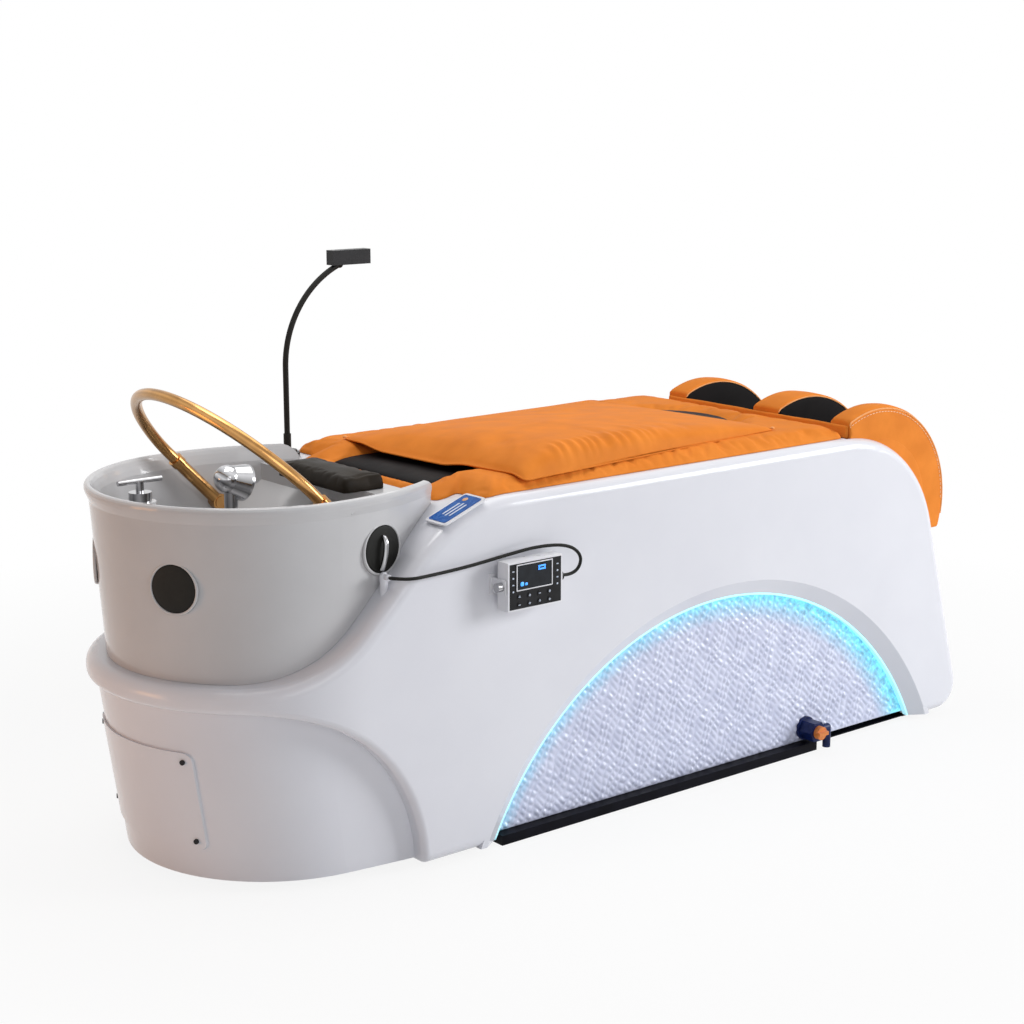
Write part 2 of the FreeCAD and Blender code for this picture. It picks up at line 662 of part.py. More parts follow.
for sign in (-1, 1):
    inner_end = Vector(size.hoop_x, sign * (size.hoop_half - 10.5), size.hoop_z)
    pin = cylinder(inner_end, size.pivot_radius, port_floor - size.hoop_half + 10.5, Vector(0, sign, 0))
    cap = cylinder(inner_end, 12, 1.2, Vector(0, sign, 0))
    collar = cylinder(inner_end + Vector(0, sign * 20, 0), 13, 20, Vector(0, sign, 0)).common(bowl_room)
    water_way = cylinder(inner_end + Vector(0, sign * 5, 0), 4, size.bed_width, Vector(0, sign, 0))
    pins.append(pin.fuse([cap, collar]).cut(water_way))
form("arch_pivots", Part.makeCompound(pins))


# Cushions: closed crowned forms
def crowned_section(x, half, base, edge, crown):
    """Cross-section in a YZ plane: flat underside, drawn-in sides, arched top."""
    bulge = min(4, edge / 3)
    low = [Vector(x, -half + bulge, base), Vector(x, -half, base + edge / 2),
           Vector(x, -half + bulge, base + edge)]
    high = [Vector(x, -point.y, point.z) for point in reversed(low)]
    side = Part.Arc(low[0], low[1], low[2]).toShape()
    top = Part.Arc(low[2], Vector(x, 0, base + crown), high[0]).toShape()
    other = Part.Arc(high[0], high[1], high[2]).toShape()
    return Part.Wire([side, top, other, Part.makeLine(high[2], low[0])])


def bolster(y0, y1):
    middle = (y0 + y1) / 2
    half = (y1 - y0) / 2
    wire = crowned_section(size.mattress_head_x, half, size.deck_height + 0.2, size.mattress_edge,
                           size.mattress_crown)
    wire.translate(Vector(0, middle, 0))
    return Part.Face(wire).extrude(Vector(size.mattress_foot_x - size.mattress_head_x, 0, 0))


sides = bolster(-size.mattress_half, -size.cover_half).fuse(bolster(size.cover_half, size.mattress_half))
cross = Part.Face(crowned_section(0, (size.mattress_foot_x - size.slot_foot_x) / 2, size.deck_height + 0.2,
                                  size.mattress_edge, size.mattress_crown))
cross.rotate(Vector(0, 0, 0), Vector(0, 0, 1), 90)
cross.translate(Vector((size.mattress_foot_x + size.slot_foot_x) / 2, -size.mattress_half + 4, 0))
cross = cross.extrude(Vector(0, 2 * size.mattress_half - 8, 0))
form("mattress", sides.fuse(cross).removeSplitter())
insert = crowned_section(size.mattress_head_x, size.cover_half - 0.5, size.deck_height + 0.2, 14, 18)
form("massage_cover", Part.Face(insert).extrude(Vector(size.slot_foot_x - size.mattress_head_x - 0.5, 0, 0)))
pad_length = size.pad_foot_x - size.pad_head_x
pad_sections = []
for share, crown_share in ((0, 0.05), (0.1, 0.6), (0.5, 1), (0.9, 0.6), (1, 0.05)):
    crown = size.pad_edge + crown_share * (size.pad_crown - size.pad_edge)
    pad_sections.append(crowned_section((share - 0.5) * pad_length, size.pad_half, size.pad_z,
                                        size.pad_edge, crown))
pad_middle = Vector((size.pad_head_x + size.pad_foot_x) / 2, size.pad_y, 0)
bed_pad = form("bed_pad", Part.makeLoft(pad_sections, True, False))
bed_pad.Placement = Placement(pad_middle, Rotation(Vector(0, 0, 1), size.pad_turn))
pillow_sections = []
pillow_x = bowl_end - 48
for share, drop in ((0, 6), (0.12, 1), (0.5, 0), (0.88, 1), (1, 6)):
    wire = crowned_section(0, size.pillow_length / 2 - drop / 2, size.neck_height + 0.2 + drop / 3,
                           size.pillow_height - 8 - drop, size.pillow_height - drop)
    wire.rotate(Vector(0, 0, 0), Vector(0, 0, 1), 90)
    wire.translate(Vector(pillow_x + size.pillow_length / 2, (2 * share - 1) * size.pillow_half, 0))
    pillow_sections.append(wire)
form("neck_pillow", Part.makeLoft(pillow_sections, True, False))

# Massage drive: rails, lead screw, carriage and two roller spindles
ends = []
for number, start in enumerate(("slot_head_x - 20", "slot_foot_x + 2")):
    end = block("rail end %d" % number, start, "-slot_half - 10", "rail_z - 20", "18", "2 * slot_half + 20",
                "deck_height - wall - rail_z + 19.9")
    hole = rod("screw hole %d" % number, "slot_head_x - 40", "0", "rail_z", "7.05", "bed_length", ALONG_X)
    ends.append(minus("rail end bored %d" % number, end, hole))
rails = [rod("rail %d" % number, "slot_head_x - 4", y, "rail_z", "rail_radius",
             "slot_foot_x - slot_head_x + 8", ALONG_X) for number, y in enumerate(("-rail_y", "rail_y"))]
joined("massage_rails", *(ends + rails))
rod("lead_screw", "slot_head_x - 20", "0", "rail_z", "7", "slot_foot_x - slot_head_x + 60", ALONG_X)
motor = rod("motor solid", "slot_foot_x + 20.2", "0", "rail_z", "30", "54", ALONG_X)
minus("carriage_motor", motor, rod("motor bore", "slot_foot_x", "0", "rail_z", "7.05", "60.5", ALONG_X))
carriage_body = block("carriage plate", "carriage_x - carriage_length / 2", "-slot_half + 12", "rail_z - 14",
                      "carriage_length", "2 * slot_half - 24", "28")
ears = []
for number, y in enumerate(("-slot_half + 12", "slot_half - 20")):
    ears.append(block("carriage ear %d" % number, "carriage_x - carriage_length / 2", y, "rail_z",
                      "carriage_length", "8", "roller_z - rail_z + 10"))
bores = [rod("rail bore %d" % number, "slot_head_x", y, "rail_z", "rail_radius + 0.05", "bed_length", ALONG_X)
         for number, y in enumerate(("-rail_y", "rail_y"))]
bores.append(rod("screw bore", "slot_head_x", "0", "rail_z", "7.05", "bed_length", ALONG_X))
for number, x in enumerate(("carriage_x - 42", "carriage_x + 42")):
    bores.append(rod("spindle bore %d" % number, x, "-slot_half", "roller_z", "5.05", "2 * slot_half",
                     ALONG_Y))
minus("massage_carriage", joined("carriage solid", carriage_body, *ears), *bores)
for name, x in (("front_rollers", "carriage_x - 42"), ("rear_rollers", "carriage_x + 42")):
    spindle = rod(name + " spindle", x, "-slot_half + 13", "roller_z", "5", "2 * slot_half - 26", ALONG_Y)
    wheels = [rod(name + " wheel %d" % number, x, y, "roller_z", "roller_radius", "56", ALONG_Y)
              for number, y in enumerate(("-96", "40"))]
    joined(name, spindle, *wheels)

# Leg unit: a core on an axle with three padded walls and two lined calf wells
WALLS = ((-size.leg_half - 4, -size.leg_half - 4 + size.leg_wall),
         (size.middle_wall_y - size.middle_wall / 2, size.middle_wall_y + size.middle_wall / 2),
         (size.rear_wall_y - size.leg_wall / 2, size.rear_wall_y + size.leg_wall / 2))


def leg_layer(inner, outer_radius, y0, y1, low):
    """Part of a drum in front of the unit's head face and above a height."""
    centre = Vector(size.leg_x, y0, size.leg_z)
    layer = cylinder(centre, outer_radius, y1 - y0, Vector(0, 1, 0))
    if inner:
        layer = layer.cut(cylinder(centre, inner, y1 - y0, Vector(0, 1, 0)))
    return layer.common(cuboid(size.leg_x - size.leg_face, size.leg_x + 2 * size.leg_radius, y0, y1, low,
                               3 * size.leg_radius + size.leg_z))


walls = []
for y0, y1 in WALLS:
    wall = leg_layer(size.leg_core_radius + 0.2, size.leg_radius, y0, y1, size.leg_z - 70)
    rim_edges = [edge for edge in wall.Edges if edge.Curve.TypeId == "Part::GeomCircle"
                 and abs(edge.Curve.Radius - size.leg_radius) < 0.01]
    walls.append(wall.makeFillet(9, rim_edges))
walls.append(leg_layer(size.leg_core_radius + 0.2, size.leg_core_radius + 18, WALLS[2][1] + 0.2,
                       size.leg_half, size.leg_z - 70))
form("leg_walls", Part.makeCompound(walls))
liners = []
for (before, y0), (y1, after) in zip(WALLS, WALLS[1:]):
    floor = leg_layer(size.leg_core_radius + 0.2, size.leg_core_radius + 8, y0 + 0.2, y1 - 0.2,
                      size.leg_z - 40)
    cheeks = [leg_layer(size.leg_core_radius + 0.2, size.leg_radius - 16, y, y + 4, size.leg_z - 40)
              for y in (y0 + 0.2, y1 - 4.2)]
    liners.append(floor.fuse(cheeks))
form("leg_liner", Part.makeCompound(liners))
core = rod("core drum", "leg_x", "-leg_half", "leg_z", "leg_core_radius", "2 * leg_half", ALONG_Y)
core_bore = rod("core bore", "leg_x", "-leg_half - 10", "leg_z", "axle_radius", "2 * leg_half + 20", ALONG_Y)
motor_room = rod("core motor room", "leg_x", "leg_half - 110", "leg_z", "62", "120", ALONG_Y)
core_inside = rod("core inside", "leg_x", "core_shell - leg_half", "leg_z", "leg_core_radius - core_shell",
                  "2 * leg_half - 110 - 2 * core_shell", ALONG_Y)
core_hub = rod("core hub", "leg_x", "-leg_half", "leg_z", "axle_radius + core_shell", "2 * leg_half", ALONG_Y)
minus("leg_core", core, core_bore, motor_room, minus("core hollow", core_inside, core_hub))
rod("leg_axle", "leg_x", "1 - half_width + wall", "leg_z", "axle_radius", "bed_width - 2 * wall - 30",
    ALONG_Y)
bearing = rod("bearing disc", "leg_x", "0.1 - half_width + wall", "leg_z", "45", "8", ALONG_Y)
bearing_bore = rod("bearing bore", "leg_x", "-half_width", "leg_z", "axle_radius + 0.05", "100", ALONG_Y)
minus("leg_bearing", bearing, bearing_bore)
gearbox = rod("gearbox", "leg_x", "leg_half - 100", "leg_z", "55", "100", ALONG_Y)
gear_flange = rod("gearbox flange", "leg_x", "leg_half", "leg_z", "70", "half_width - wall - leg_half - 0.1",
                  ALONG_Y)
minus("leg_motor", joined("leg motor solid", gearbox, gear_flange),
      rod("gearbox bore", "leg_x", "leg_half - 120", "leg_z", "axle_radius + 0.05", "113", ALONG_Y))

# Controller: bracket on the side, tilting box, face, screen and eight keys
FRONT = "control_axis_y - control_depth / 2"
LOW_X = "control_x - control_length / 2"
LOW_Z = "control_z - control_height / 2"
case = block("control case", LOW_X, FRONT, LOW_Z, "control_length", "control_depth", "control_height")
room = block("control room", LOW_X + " + 3", FRONT + " - 1", LOW_Z + " + 3", "control_length - 6",
             "control_depth - 2", "control_height - 6")
left_hole = rod("control left hole", LOW_X + " - 1", "control_axis_y", "control_z", "4.05", "5", ALONG_X)
right_hole = rod("control right hole", LOW_X + " + control_length - 4", "control_axis_y", "control_z", "6.05",
                 "5", ALONG_X)
minus("control_box", case, room, left_hole, right_hole)
KEYS = [(column, row) for row in (-20.5, -36) for column in (-40, -15, 9.5, 34)]
face_plate = block("face plate", LOW_X + " + 3.1", FRONT, LOW_Z + " + 3.1", "control_length - 6.2", "3",
                   "control_height - 6.2")
key_holes = [rod("key hole %d" % number, "control_x + %g" % column, FRONT + " - 1", "control_z + %g" % row,
                 "button_radius + 0.15", "6", ALONG_Y) for number, (column, row) in enumerate(KEYS)]
minus("control_face", face_plate, *key_holes)
block("control_screen", "control_x - 46", FRONT + " - 1", "control_z - 8", "86", "1", "49")
for number, (column, row) in enumerate(KEYS, start=1):
    x = "control_x + %g" % column
    z = "control_z + %g" % row
    cap = rod("key cap %d" % number, x, FRONT + " - 1.4", z, "button_radius", "6", ALONG_Y)
    foot = rod("key foot %d" % number, x, FRONT + " + 3.02", z, "button_radius + 1.4", "2", ALONG_Y)
    joined("control_key_%d" % number, cap, foot)
back = block("bracket back", LOW_X + " - 8", "-half_width - 3", "control_z - 20", "control_length + 16",
             "2.9", "40")
left_ear = block("bracket left ear", LOW_X + " - 4", "control_axis_y - 12", "control_z - 14", "3",
                 "-half_width - control_axis_y + 10", "28")
right_ear = block("bracket right ear", LOW_X + " + control_length + 1", "control_axis_y - 12",
                  "control_z - 14", "3", "-half_width - control_axis_y + 10", "28")
RIGHT_X = LOW_X + " + control_length"
left_bore = rod("ear left bore", LOW_X + " - 10", "control_axis_y", "control_z", "4.05", "20", ALONG_X)
right_bore = rod("ear right bore", RIGHT_X + " - 5", "control_axis_y", "control_z", "6.05", "20", ALONG_X)
minus("control_bracket", joined("bracket solid", back, left_ear, right_ear), left_bore, right_bore)
thumb = rod("thumb head", LOW_X + " - 16.1", "control_axis_y", "control_z", "9", "12", ALONG_X)
thumb_shaft = rod("thumb shaft", LOW_X + " - 5", "control_axis_y", "control_z", "4", "7.5", ALONG_X)
joined("control_thumbscrew", thumb, thumb_shaft)
gland = rod("gland tube", RIGHT_X + " - 2.5", "control_axis_y", "control_z", "6", "16", ALONG_X)
gland_nut = rod("gland nut", RIGHT_X + " + 4.1", "control_axis_y", "control_z", "9", "7", ALONG_X)
gland_bore = rod("gland bore", RIGHT_X + " - 10", "control_axis_y", "control_z", "cord_diameter / 2 + 0.1",
                 "15", ALONG_X)
minus("control_gland", joined("gland solid", gland, gland_nut), gland_bore)

# Cord outlet on the ramp and the cord from it, over the controller, into its right side
post = cylinder(Vector(OUTLET_X, OUTLET_Y, OUTLET_Z - 16), 8, 44, Vector(0, 0, 1))
nozzle = cylinder(Vector(OUTLET_X, OUTLET_Y, OUTLET_Z + 28), 6, 16.6, Vector(0, -1, 0))
form("cord_outlet", post.fuse([Part.makeSphere(8, Vector(OUTLET_X, OUTLET_Y, OUTLET_Z + 28)), nozzle]))
cord_start = Vector(OUTLET_X, OUTLET_Y - 18, OUTLET_Z + 28)
cord_end = Vector(size.control_x + size.control_length / 2 + 14, size.control_axis_y, size.control_z)
top = size.control_z + size.control_height / 2
cord_points = [cord_start,
               Vector(cord_start.x + 14, -size.half_width - 17, cord_start.z + 1),
               Vector(cord_start.x + 72, -size.half_width - 14, cord_start.z + 1),
               Vector(cord_start.x + 158, -size.half_width - 13, top - 1),
               Vector(size.control_x - 46, -size.half_width - 16, top + 8),
               Vector(size.control_x + 30, -size.half_width - 22, top + 16),
               Vector(cord_end.x + 20, -size.half_width - 30, top + 10),
               Vector(cord_end.x + 52, size.control_axis_y, cord_end.z + 28),
               Vector(cord_end.x + 33, size.control_axis_y, cord_end.z - 4),
               cord_end]


def cord_path(points):
    """Straight runs joined by tangent arcs."""
    edges = []
    last = points[0]
    length = 0
    for before, corner, after in zip(points, points[1:], points[2:]):
        into = (corner - before).normalize()
        out = (after - corner).normalize()
        turn = into.getAngle(out)
        setback = 0.45 * min((corner - before).Length, (after - corner).Length)
        radius = setback / math.tan(turn / 2)
        print("cord radius %.1f turn %.1f" % (radius, math.degrees(turn)))
        first = corner - into * setback
        second = corner + out * setback
        chord = ((first + second) * 0.5 - corner).normalize()
        middle = corner + chord * (radius / math.cos(turn / 2) - radius)
        edges.append(Part.makeLine(last, first))
        edges.append(Part.Arc(first, middle, second).toShape())
        length += (first - last).Length + radius * turn
        last = second
    edges.append(Part.makeLine(last, points[-1]))
    return Part.Wire(edges), length + (points[-1] - last).Length


wire, cord_length = cord_path(cord_points)
circle = Part.makeCircle(size.cord_diameter / 2, cord_start, cord_points[1] - cord_start)
section = Part.Face(Part.Wire(circle))
cord = wire.makePipe(section)
print("cord length %.1f volume ratio %.4f" % (cord_length, cord.Volume / section.Area / cord_length))
form("control_cord", cord)

# Keypad on the front shoulder, lying along the ramp's slope
drop = size.ramp_radius - math.sqrt(size.ramp_radius ** 2 - (size.ramp_end_x - size.keypad_x) ** 2)
slope = math.degrees(math.asin((size.ramp_end_x - size.keypad_x) / size.ramp_radius))
tilt = Placement(Vector(size.keypad_x, size.keypad_y, size.deck_height - drop),
                 Rotation(Vector(0, 1, 0), -slope))
half_length = size.keypad_length / 2
half_wide = size.keypad_width / 2


def keypad_plate(margin, low, high, corner):
    long = half_length - margin
    wide = half_wide - margin
    plate = cuboid(-long, long, -wide, wide, low, high)
    upright = [edge for edge in plate.Edges if abs(edge.Vertexes[0].Z - edge.Vertexes[1].Z) > 0.1]
    return plate.makeFillet(corner, upright)


frame_form = form("keypad_frame", keypad_plate(0, 0.3, 4.3, 8))
frame_form.Placement = tilt
membrane = form("keypad_membrane", keypad_plate(6, 4.32, 5.5, 5))
membrane.Placement = tilt

# Phone arm: socket in the rear shoulder, bent arm, clamp body and sliding jaw
arm_low = size.deck_height - 40
plug = cylinder(Vector(size.arm_x, size.arm_y, arm_low), 20, 46, Vector(0, 0, 1))
collar = cylinder(Vector(size.arm_x, size.arm_y, size.deck_height - 4), 26, 5, Vector(0, 0, 1))
arm_bore = cylinder(Vector(size.arm_x, size.arm_y, arm_low + 6), 8.05, 60, Vector(0, 0, 1))
form("arm_socket", plug.fuse(collar).cut(arm_bore))
arm_foot = Vector(size.arm_x, size.arm_y, arm_low + 6.1)
bend_foot = Vector(size.arm_x, size.arm_y, size.deck_height + size.arm_rise)
reach_angle = 68


def arm_point(angle):
    turn = math.radians(angle)
    return bend_foot + Vector(size.arm_bend * (1 - math.cos(turn)), 0, size.arm_bend * math.sin(turn))


arm_tip = arm_point(reach_angle)
arm_path = Part.Wire([Part.makeLine(arm_foot, bend_foot),
                      Part.Arc(bend_foot, arm_point(reach_angle / 2), arm_tip).toShape()])
arm_face = Part.Face(Part.Wire(Part.makeCircle(size.arm_tube, arm_foot, Vector(0, 0, 1))))
ferrule = cylinder(arm_foot, 8, 74, Vector(0, 0, 1))
ball = Part.makeSphere(8, arm_tip)
form("gooseneck", arm_path.makePipe(arm_face).fuse([ferrule, ball]))
clamp_x = arm_tip.x - 24
clamp_low = arm_tip.z - 1
clamp = cuboid(clamp_x, clamp_x + 62, size.arm_y - 13, size.arm_y + 13, clamp_low, clamp_low + 31)
channel = Part.Face(Part.Wire(Part.makeCircle(size.arm_tube + 0.1, arm_foot, Vector(0, 0, 1))))
clamp = clamp.cut([Part.makeSphere(8.05, arm_tip), arm_path.makePipe(channel),
                   cylinder(Vector(clamp_x + 12, size.arm_y, clamp_low + 16), 4.05, 60, Vector(1, 0, 0))])
form("phone_clamp", clamp)
jaw = cuboid(clamp_x + 62.1, clamp_x + 95, size.arm_y - 13, size.arm_y + 13, clamp_low, clamp_low + 31)
jaw = jaw.fuse(cylinder(Vector(clamp_x + 16, size.arm_y, clamp_low + 16), 4, 60, Vector(1, 0, 0)))
form("clamp_jaw", jaw)

# Drain valve: body with a bent spout through the front panel, and its knob
valve_tail = rod("valve tail", "valve_x", "-panel_y - 0.1", "valve_z", "18", "30", ALONG_Y)
valve_flange = rod("valve flange", "valve_x", "-panel_y - 6.1", "valve_z", "27", "6", ALONG_Y)
hex_body = doc.addObject("Part::Prism", "valve hexagon")
hex_body.Polygon = 6
hex_body.Placement = Placement(Vector(), ALONG_Y)
for prop, text in (("Circumradius", "24"), ("Height", "36"), ("Placement.Base.x", "valve_x"),
                   ("Placement.Base.y", "-panel_y - 42"), ("Placement.Base.z", "valve_z")):
    hex_body.setExpression(prop, bound(text))
spout_arm = rod("spout arm", "valve_x", "-panel_y - 28", "valve_z", "9", "44", ALONG_X)
spout_drop = rod("spout drop", "valve_x + 44", "-panel_y - 28", "4", "9", "valve_z - 4")
spout_knee = doc.addObject("Part::Sphere", "spout knee")
for prop, text in (("Radius", "9"), ("Placement.Base.x", "valve_x + 44"),
                   ("Placement.Base.y", "-panel_y - 28"), ("Placement.Base.z", "valve_z")):
    spout_knee.setExpression(prop, bound(text))
valve_solid = joined("valve solid", valve_tail, valve_flange, hex_body, spout_arm, spout_drop, spout_knee)
valve_bore = rod("valve bore", "valve_x", "-panel_y - 50", "valve_z", "7.05", "20", ALONG_Y)
minus("valve_body", valve_solid, valve_bore)
knob = rod("knob cap", "valve_x", "-panel_y - 54", "valve_z", "15", "11.9", ALONG_Y)
knob_stem = rod("knob stem", "valve_x", "-panel_y - 43", "valve_z", "7", "12", ALONG_Y)
knob_grip = block("knob grip", "valve_x - 15", "-panel_y - 60", "valve_z - 4", "30", "8", "8")
joined("valve_knob", knob, knob_stem, knob_grip)

# Water and power units on the pan
TANK_X = "arch_start_x - 193"
tank_out = block("tank outside", TANK_X, "-150", "pan_thickness + 0.1", "160", "300", "210")
tank_in = block("tank inside", TANK_X + " + 5", "-145", "pan_thickness + 5.1", "150", "290", "200")
minus("water_tank", tank_out, tank_in)
pump_foot = block("pump foot", "arch_start_x + 117", "-40", "pan_thickness + 0.1", "120", "80", "12")
pump_motor = rod("pump motor", "arch_start_x + 127", "0", "pan_thickness + 56", "45", "110", ALONG_X)
pump_house = rod("pump house", "arch_start_x + 92", "0", "pan_thickness + 56", "52", "35", ALONG_X)
joined("water_pump", pump_foot, pump_motor, pump_house)
supply_out = block("supply outside", "arch_x - 150", "-90", "pan_thickness + 0.1", "200", "180", "70")
supply_in = block("supply inside", "arch_x - 147", "-87", "pan_thickness + 3.1", "194", "174", "64")
minus("power_supply", supply_out, supply_in)

PARTS = ["base_shell", "underframe", "front_light_panel", "rear_light_panel", "light_strips", "service_cover",
         "fixing_screws", "wash_basin", "port_covers", "drain_fitting", "mixer_body", "mixer_handle",
         "shower_post", "shower_head", "water_arch", "arch_pivots", "neck_pillow", "mattress",
         "massage_cover", "bed_pad", "massage_rails", "lead_screw", "carriage_motor", "massage_carriage",
         "front_rollers", "rear_rollers", "leg_core", "leg_walls", "leg_liner", "leg_axle", "leg_bearing",
         "leg_motor",
         "control_bracket", "control_thumbscrew", "control_gland", "control_box", "control_face",
         "control_screen", "control_cord", "cord_outlet", "keypad_frame", "keypad_membrane", "arm_socket",
         "gooseneck", "phone_clamp", "clamp_jaw", "valve_body", "valve_knob", "water_tank", "water_pump",
         "power_supply"]
PARTS += ["control_key_%d" % number for number in range(1, len(KEYS) + 1)]

doc.recompute()
os.makedirs("parts", exist_ok=True)
for thing in doc.Objects:
    if {"Invalid", "Error"} & set(thing.State):
        raise RuntimeError("%s did not build: %s" % (thing.Label, thing.State))
for name in PARTS:
    piece = doc.getObjectsByLabel(name)[0]
    if piece.Shape.isNull() or not piece.Shape.isValid():
        raise RuntimeError("%s has no valid shape" % name)
    print("%-22s solids %d volume %.1f cm3" % (name, len(piece.Shape.Solids), piece.Shape.Volume / 1000))
    piece.Shape.exportStep("parts/%s.step" % name)
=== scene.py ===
import math
import random

import bpy
import numpy as np
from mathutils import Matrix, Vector


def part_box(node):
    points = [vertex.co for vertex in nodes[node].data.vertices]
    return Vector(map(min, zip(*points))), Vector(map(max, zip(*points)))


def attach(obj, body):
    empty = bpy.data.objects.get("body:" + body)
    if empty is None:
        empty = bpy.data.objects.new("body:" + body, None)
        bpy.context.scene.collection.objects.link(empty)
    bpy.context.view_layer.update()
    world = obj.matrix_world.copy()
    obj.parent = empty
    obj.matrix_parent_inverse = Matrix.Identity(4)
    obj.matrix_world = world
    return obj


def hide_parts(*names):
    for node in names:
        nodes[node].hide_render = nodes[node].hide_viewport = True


# Looks of a head-spa treatment bed. Sizes are in millimetres, in the frame of the CAD part,
# and the helpers turn them into metres.
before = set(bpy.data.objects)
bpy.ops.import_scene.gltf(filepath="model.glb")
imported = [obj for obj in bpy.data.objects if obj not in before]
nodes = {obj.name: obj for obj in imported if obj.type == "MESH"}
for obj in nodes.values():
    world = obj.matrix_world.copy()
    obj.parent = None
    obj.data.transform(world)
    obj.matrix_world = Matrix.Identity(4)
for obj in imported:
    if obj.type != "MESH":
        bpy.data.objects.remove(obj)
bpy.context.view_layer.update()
scene = bpy.context.scene
MM = 0.001

# Camera at the photograph's viewing angle
camera_data = bpy.data.cameras.new("camera")
camera_data.lens = 68.07
camera_data.sensor_width = 36
camera = bpy.data.objects.new("camera", camera_data)
camera.location = (-2.584, -3.125, 1.444)
camera.rotation_euler = (math.radians(77.748), 0, math.radians(-38.907))
scene.collection.objects.link(camera)
scene.camera = camera
scene.view_settings.view_transform = "Standard"


# Materials, with small helpers that add nodes to a shader's tree
def spread(tree, source, low, high, start=0.0, end=1.0):
    """A value moved from the range low to high into the range start to end."""
    item = tree.nodes.new("ShaderNodeMapRange")
    for key, value in zip(("From Min", "From Max", "To Min", "To Max"), (low, high, start, end)):
        item.inputs[key].default_value = value
    tree.links.new(source, item.inputs["Value"])
    return item.outputs["Result"]


def ramp(tree, source, stops):
    """A colour that changes with a value, from (position, colour) stops in rising order."""
    item = tree.nodes.new("ShaderNodeValToRGB")
    elements = item.color_ramp.elements
    for number, (position, colour) in enumerate(stops):
        stop = elements[number] if number < 2 else elements.new(position)
        stop.position = position
        stop.color = list(colour) + [1]
    tree.links.new(source, item.inputs["Fac"])
    return item.outputs["Color"]


def shade(tree, colour):
    """Multiplies the shader's base colour by another colour."""
    base = tree.nodes["Principled BSDF"].inputs["Base Color"]
    mix = tree.nodes.new("ShaderNodeMix")
    mix.data_type = "RGBA"
    mix.blend_type = "MULTIPLY"
    mix.inputs["Factor"].default_value = 1
    tree.links.new(base.links[0].from_socket, mix.inputs[6])
    tree.links.new(colour, mix.inputs[7])
    tree.links.new(mix.outputs[2], base)


def any_ray(tree, *kinds):
    """1 for rays of the named kinds and 0 for all others."""
    rays = tree.nodes.new("ShaderNodeLightPath")
    found = rays.outputs[kinds[0]]
    for kind in kinds[1:]:
        larger = tree.nodes.new("ShaderNodeMath")
        larger.operation = "MAXIMUM"
        tree.links.new(found, larger.inputs[0])
        tree.links.new(rays.outputs[kind], larger.inputs[1])
        found = larger.outputs["Value"]
    return found


def surface(name, dark, light, patch, rough, metal=0.0, coat=0.0, shine=0.5):
    """A shader whose colour and gloss drift over patches of the given size in millimetres."""
    material = bpy.data.materials.new(name)
    material.use_nodes = True
    tree = material.node_tree
    shader = tree.nodes["Principled BSDF"]
    middle = [(first + second) / 2 for first, second in zip(dark, light)]
    shader.inputs["Base Color"].default_value = middle + [1]
    shader.inputs["Metallic"].default_value = metal
    shader.inputs["Coat Weight"].default_value = coat
    shader.inputs["Coat Roughness"].default_value = 0.05
    shader.inputs["Specular IOR Level"].default_value = shine
    place = tree.nodes.new("ShaderNodeTexCoord")
    drift = tree.nodes.new("ShaderNodeTexNoise")
    drift.inputs["Scale"].default_value = 1 / (patch * MM)
    drift.inputs["Detail"].default_value = 5
    tree.links.new(place.outputs["Object"], drift.inputs["Vector"])
    colour = ramp(tree, drift.outputs["Fac"], ((0.32, dark), (0.68, light)))
    tree.links.new(colour, shader.inputs["Base Color"])
    gloss = spread(tree, drift.outputs["Fac"], 0.3, 0.7, *rough)
    tree.links.new(gloss, shader.inputs["Roughness"])
    return material


def relief(material, kind, size, depth, strength=1.0, stretch=(1, 1, 1)):
    """Adds a bump of noise, pebbles or cracks of the given size and depth in millimetres."""
    tree = material.node_tree
    shader = tree.nodes["Principled BSDF"]
    place = tree.nodes.new("ShaderNodeTexCoord")
    mapping = tree.nodes.new("ShaderNodeMapping")
    mapping.inputs["Scale"].default_value = stretch
    tree.links.new(place.outputs["Object"], mapping.inputs["Vector"])
    if kind == "noise":
        texture = tree.nodes.new("ShaderNodeTexNoise")
        texture.inputs["Detail"].default_value = 3
        height = texture.outputs["Fac"]
    else:
        texture = tree.nodes.new("ShaderNodeTexVoronoi")
        texture.feature = "SMOOTH_F1" if kind == "pebble" else "DISTANCE_TO_EDGE"
        height = texture.outputs["Distance"]
    texture.inputs["Scale"].default_value = 1 / (size * MM)
    tree.links.new(mapping.outputs["Vector"], texture.inputs["Vector"])
    bump = tree.nodes.new("ShaderNodeBump")
    bump.inputs["Strength"].default_value = strength
    bump.inputs["Distance"].default_value = depth * MM
    bump.invert = kind == "pebble"
    tree.links.new(height, bump.inputs["Height"])
    if shader.inputs["Normal"].is_linked:
        tree.links.new(shader.inputs["Normal"].links[0].from_socket, bump.inputs["Normal"])
    tree.links.new(bump.outputs["Normal"], shader.inputs["Normal"])
    return material


def leather(name, dark, light, rough, shine):
    """A surface with soft dents, a fine grain and faint cracks."""
    material = surface(name, dark, light, 60, rough, shine=shine)
    relief(material, "noise", 45, 2.0, 0.25)
    relief(material, "pebble", 2.4, 0.35, 0.5)
    return relief(material, "crack", 7, 0.25, 0.15)


def painted_reflection_bands(material, stops):
    """Painted reflection: dark and bright bands over a metal by the way each spot faces, standing in for
    cards round a studio mirrored in it.
    """
    tree = material.node_tree
    facing = tree.nodes.new("ShaderNodeNewGeometry")
    side = tree.nodes.new("ShaderNodeVectorMath")
    side.operation = "DOT_PRODUCT"
    side.inputs[1].default_value = (0.45, -0.25, 0.86)
    tree.links.new(facing.outputs["Normal"], side.inputs[0])
    share = spread(tree, side.outputs["Value"], -1, 1)
    shade(tree, ramp(tree, share, [(position, [value] * 3) for position, value in stops]))


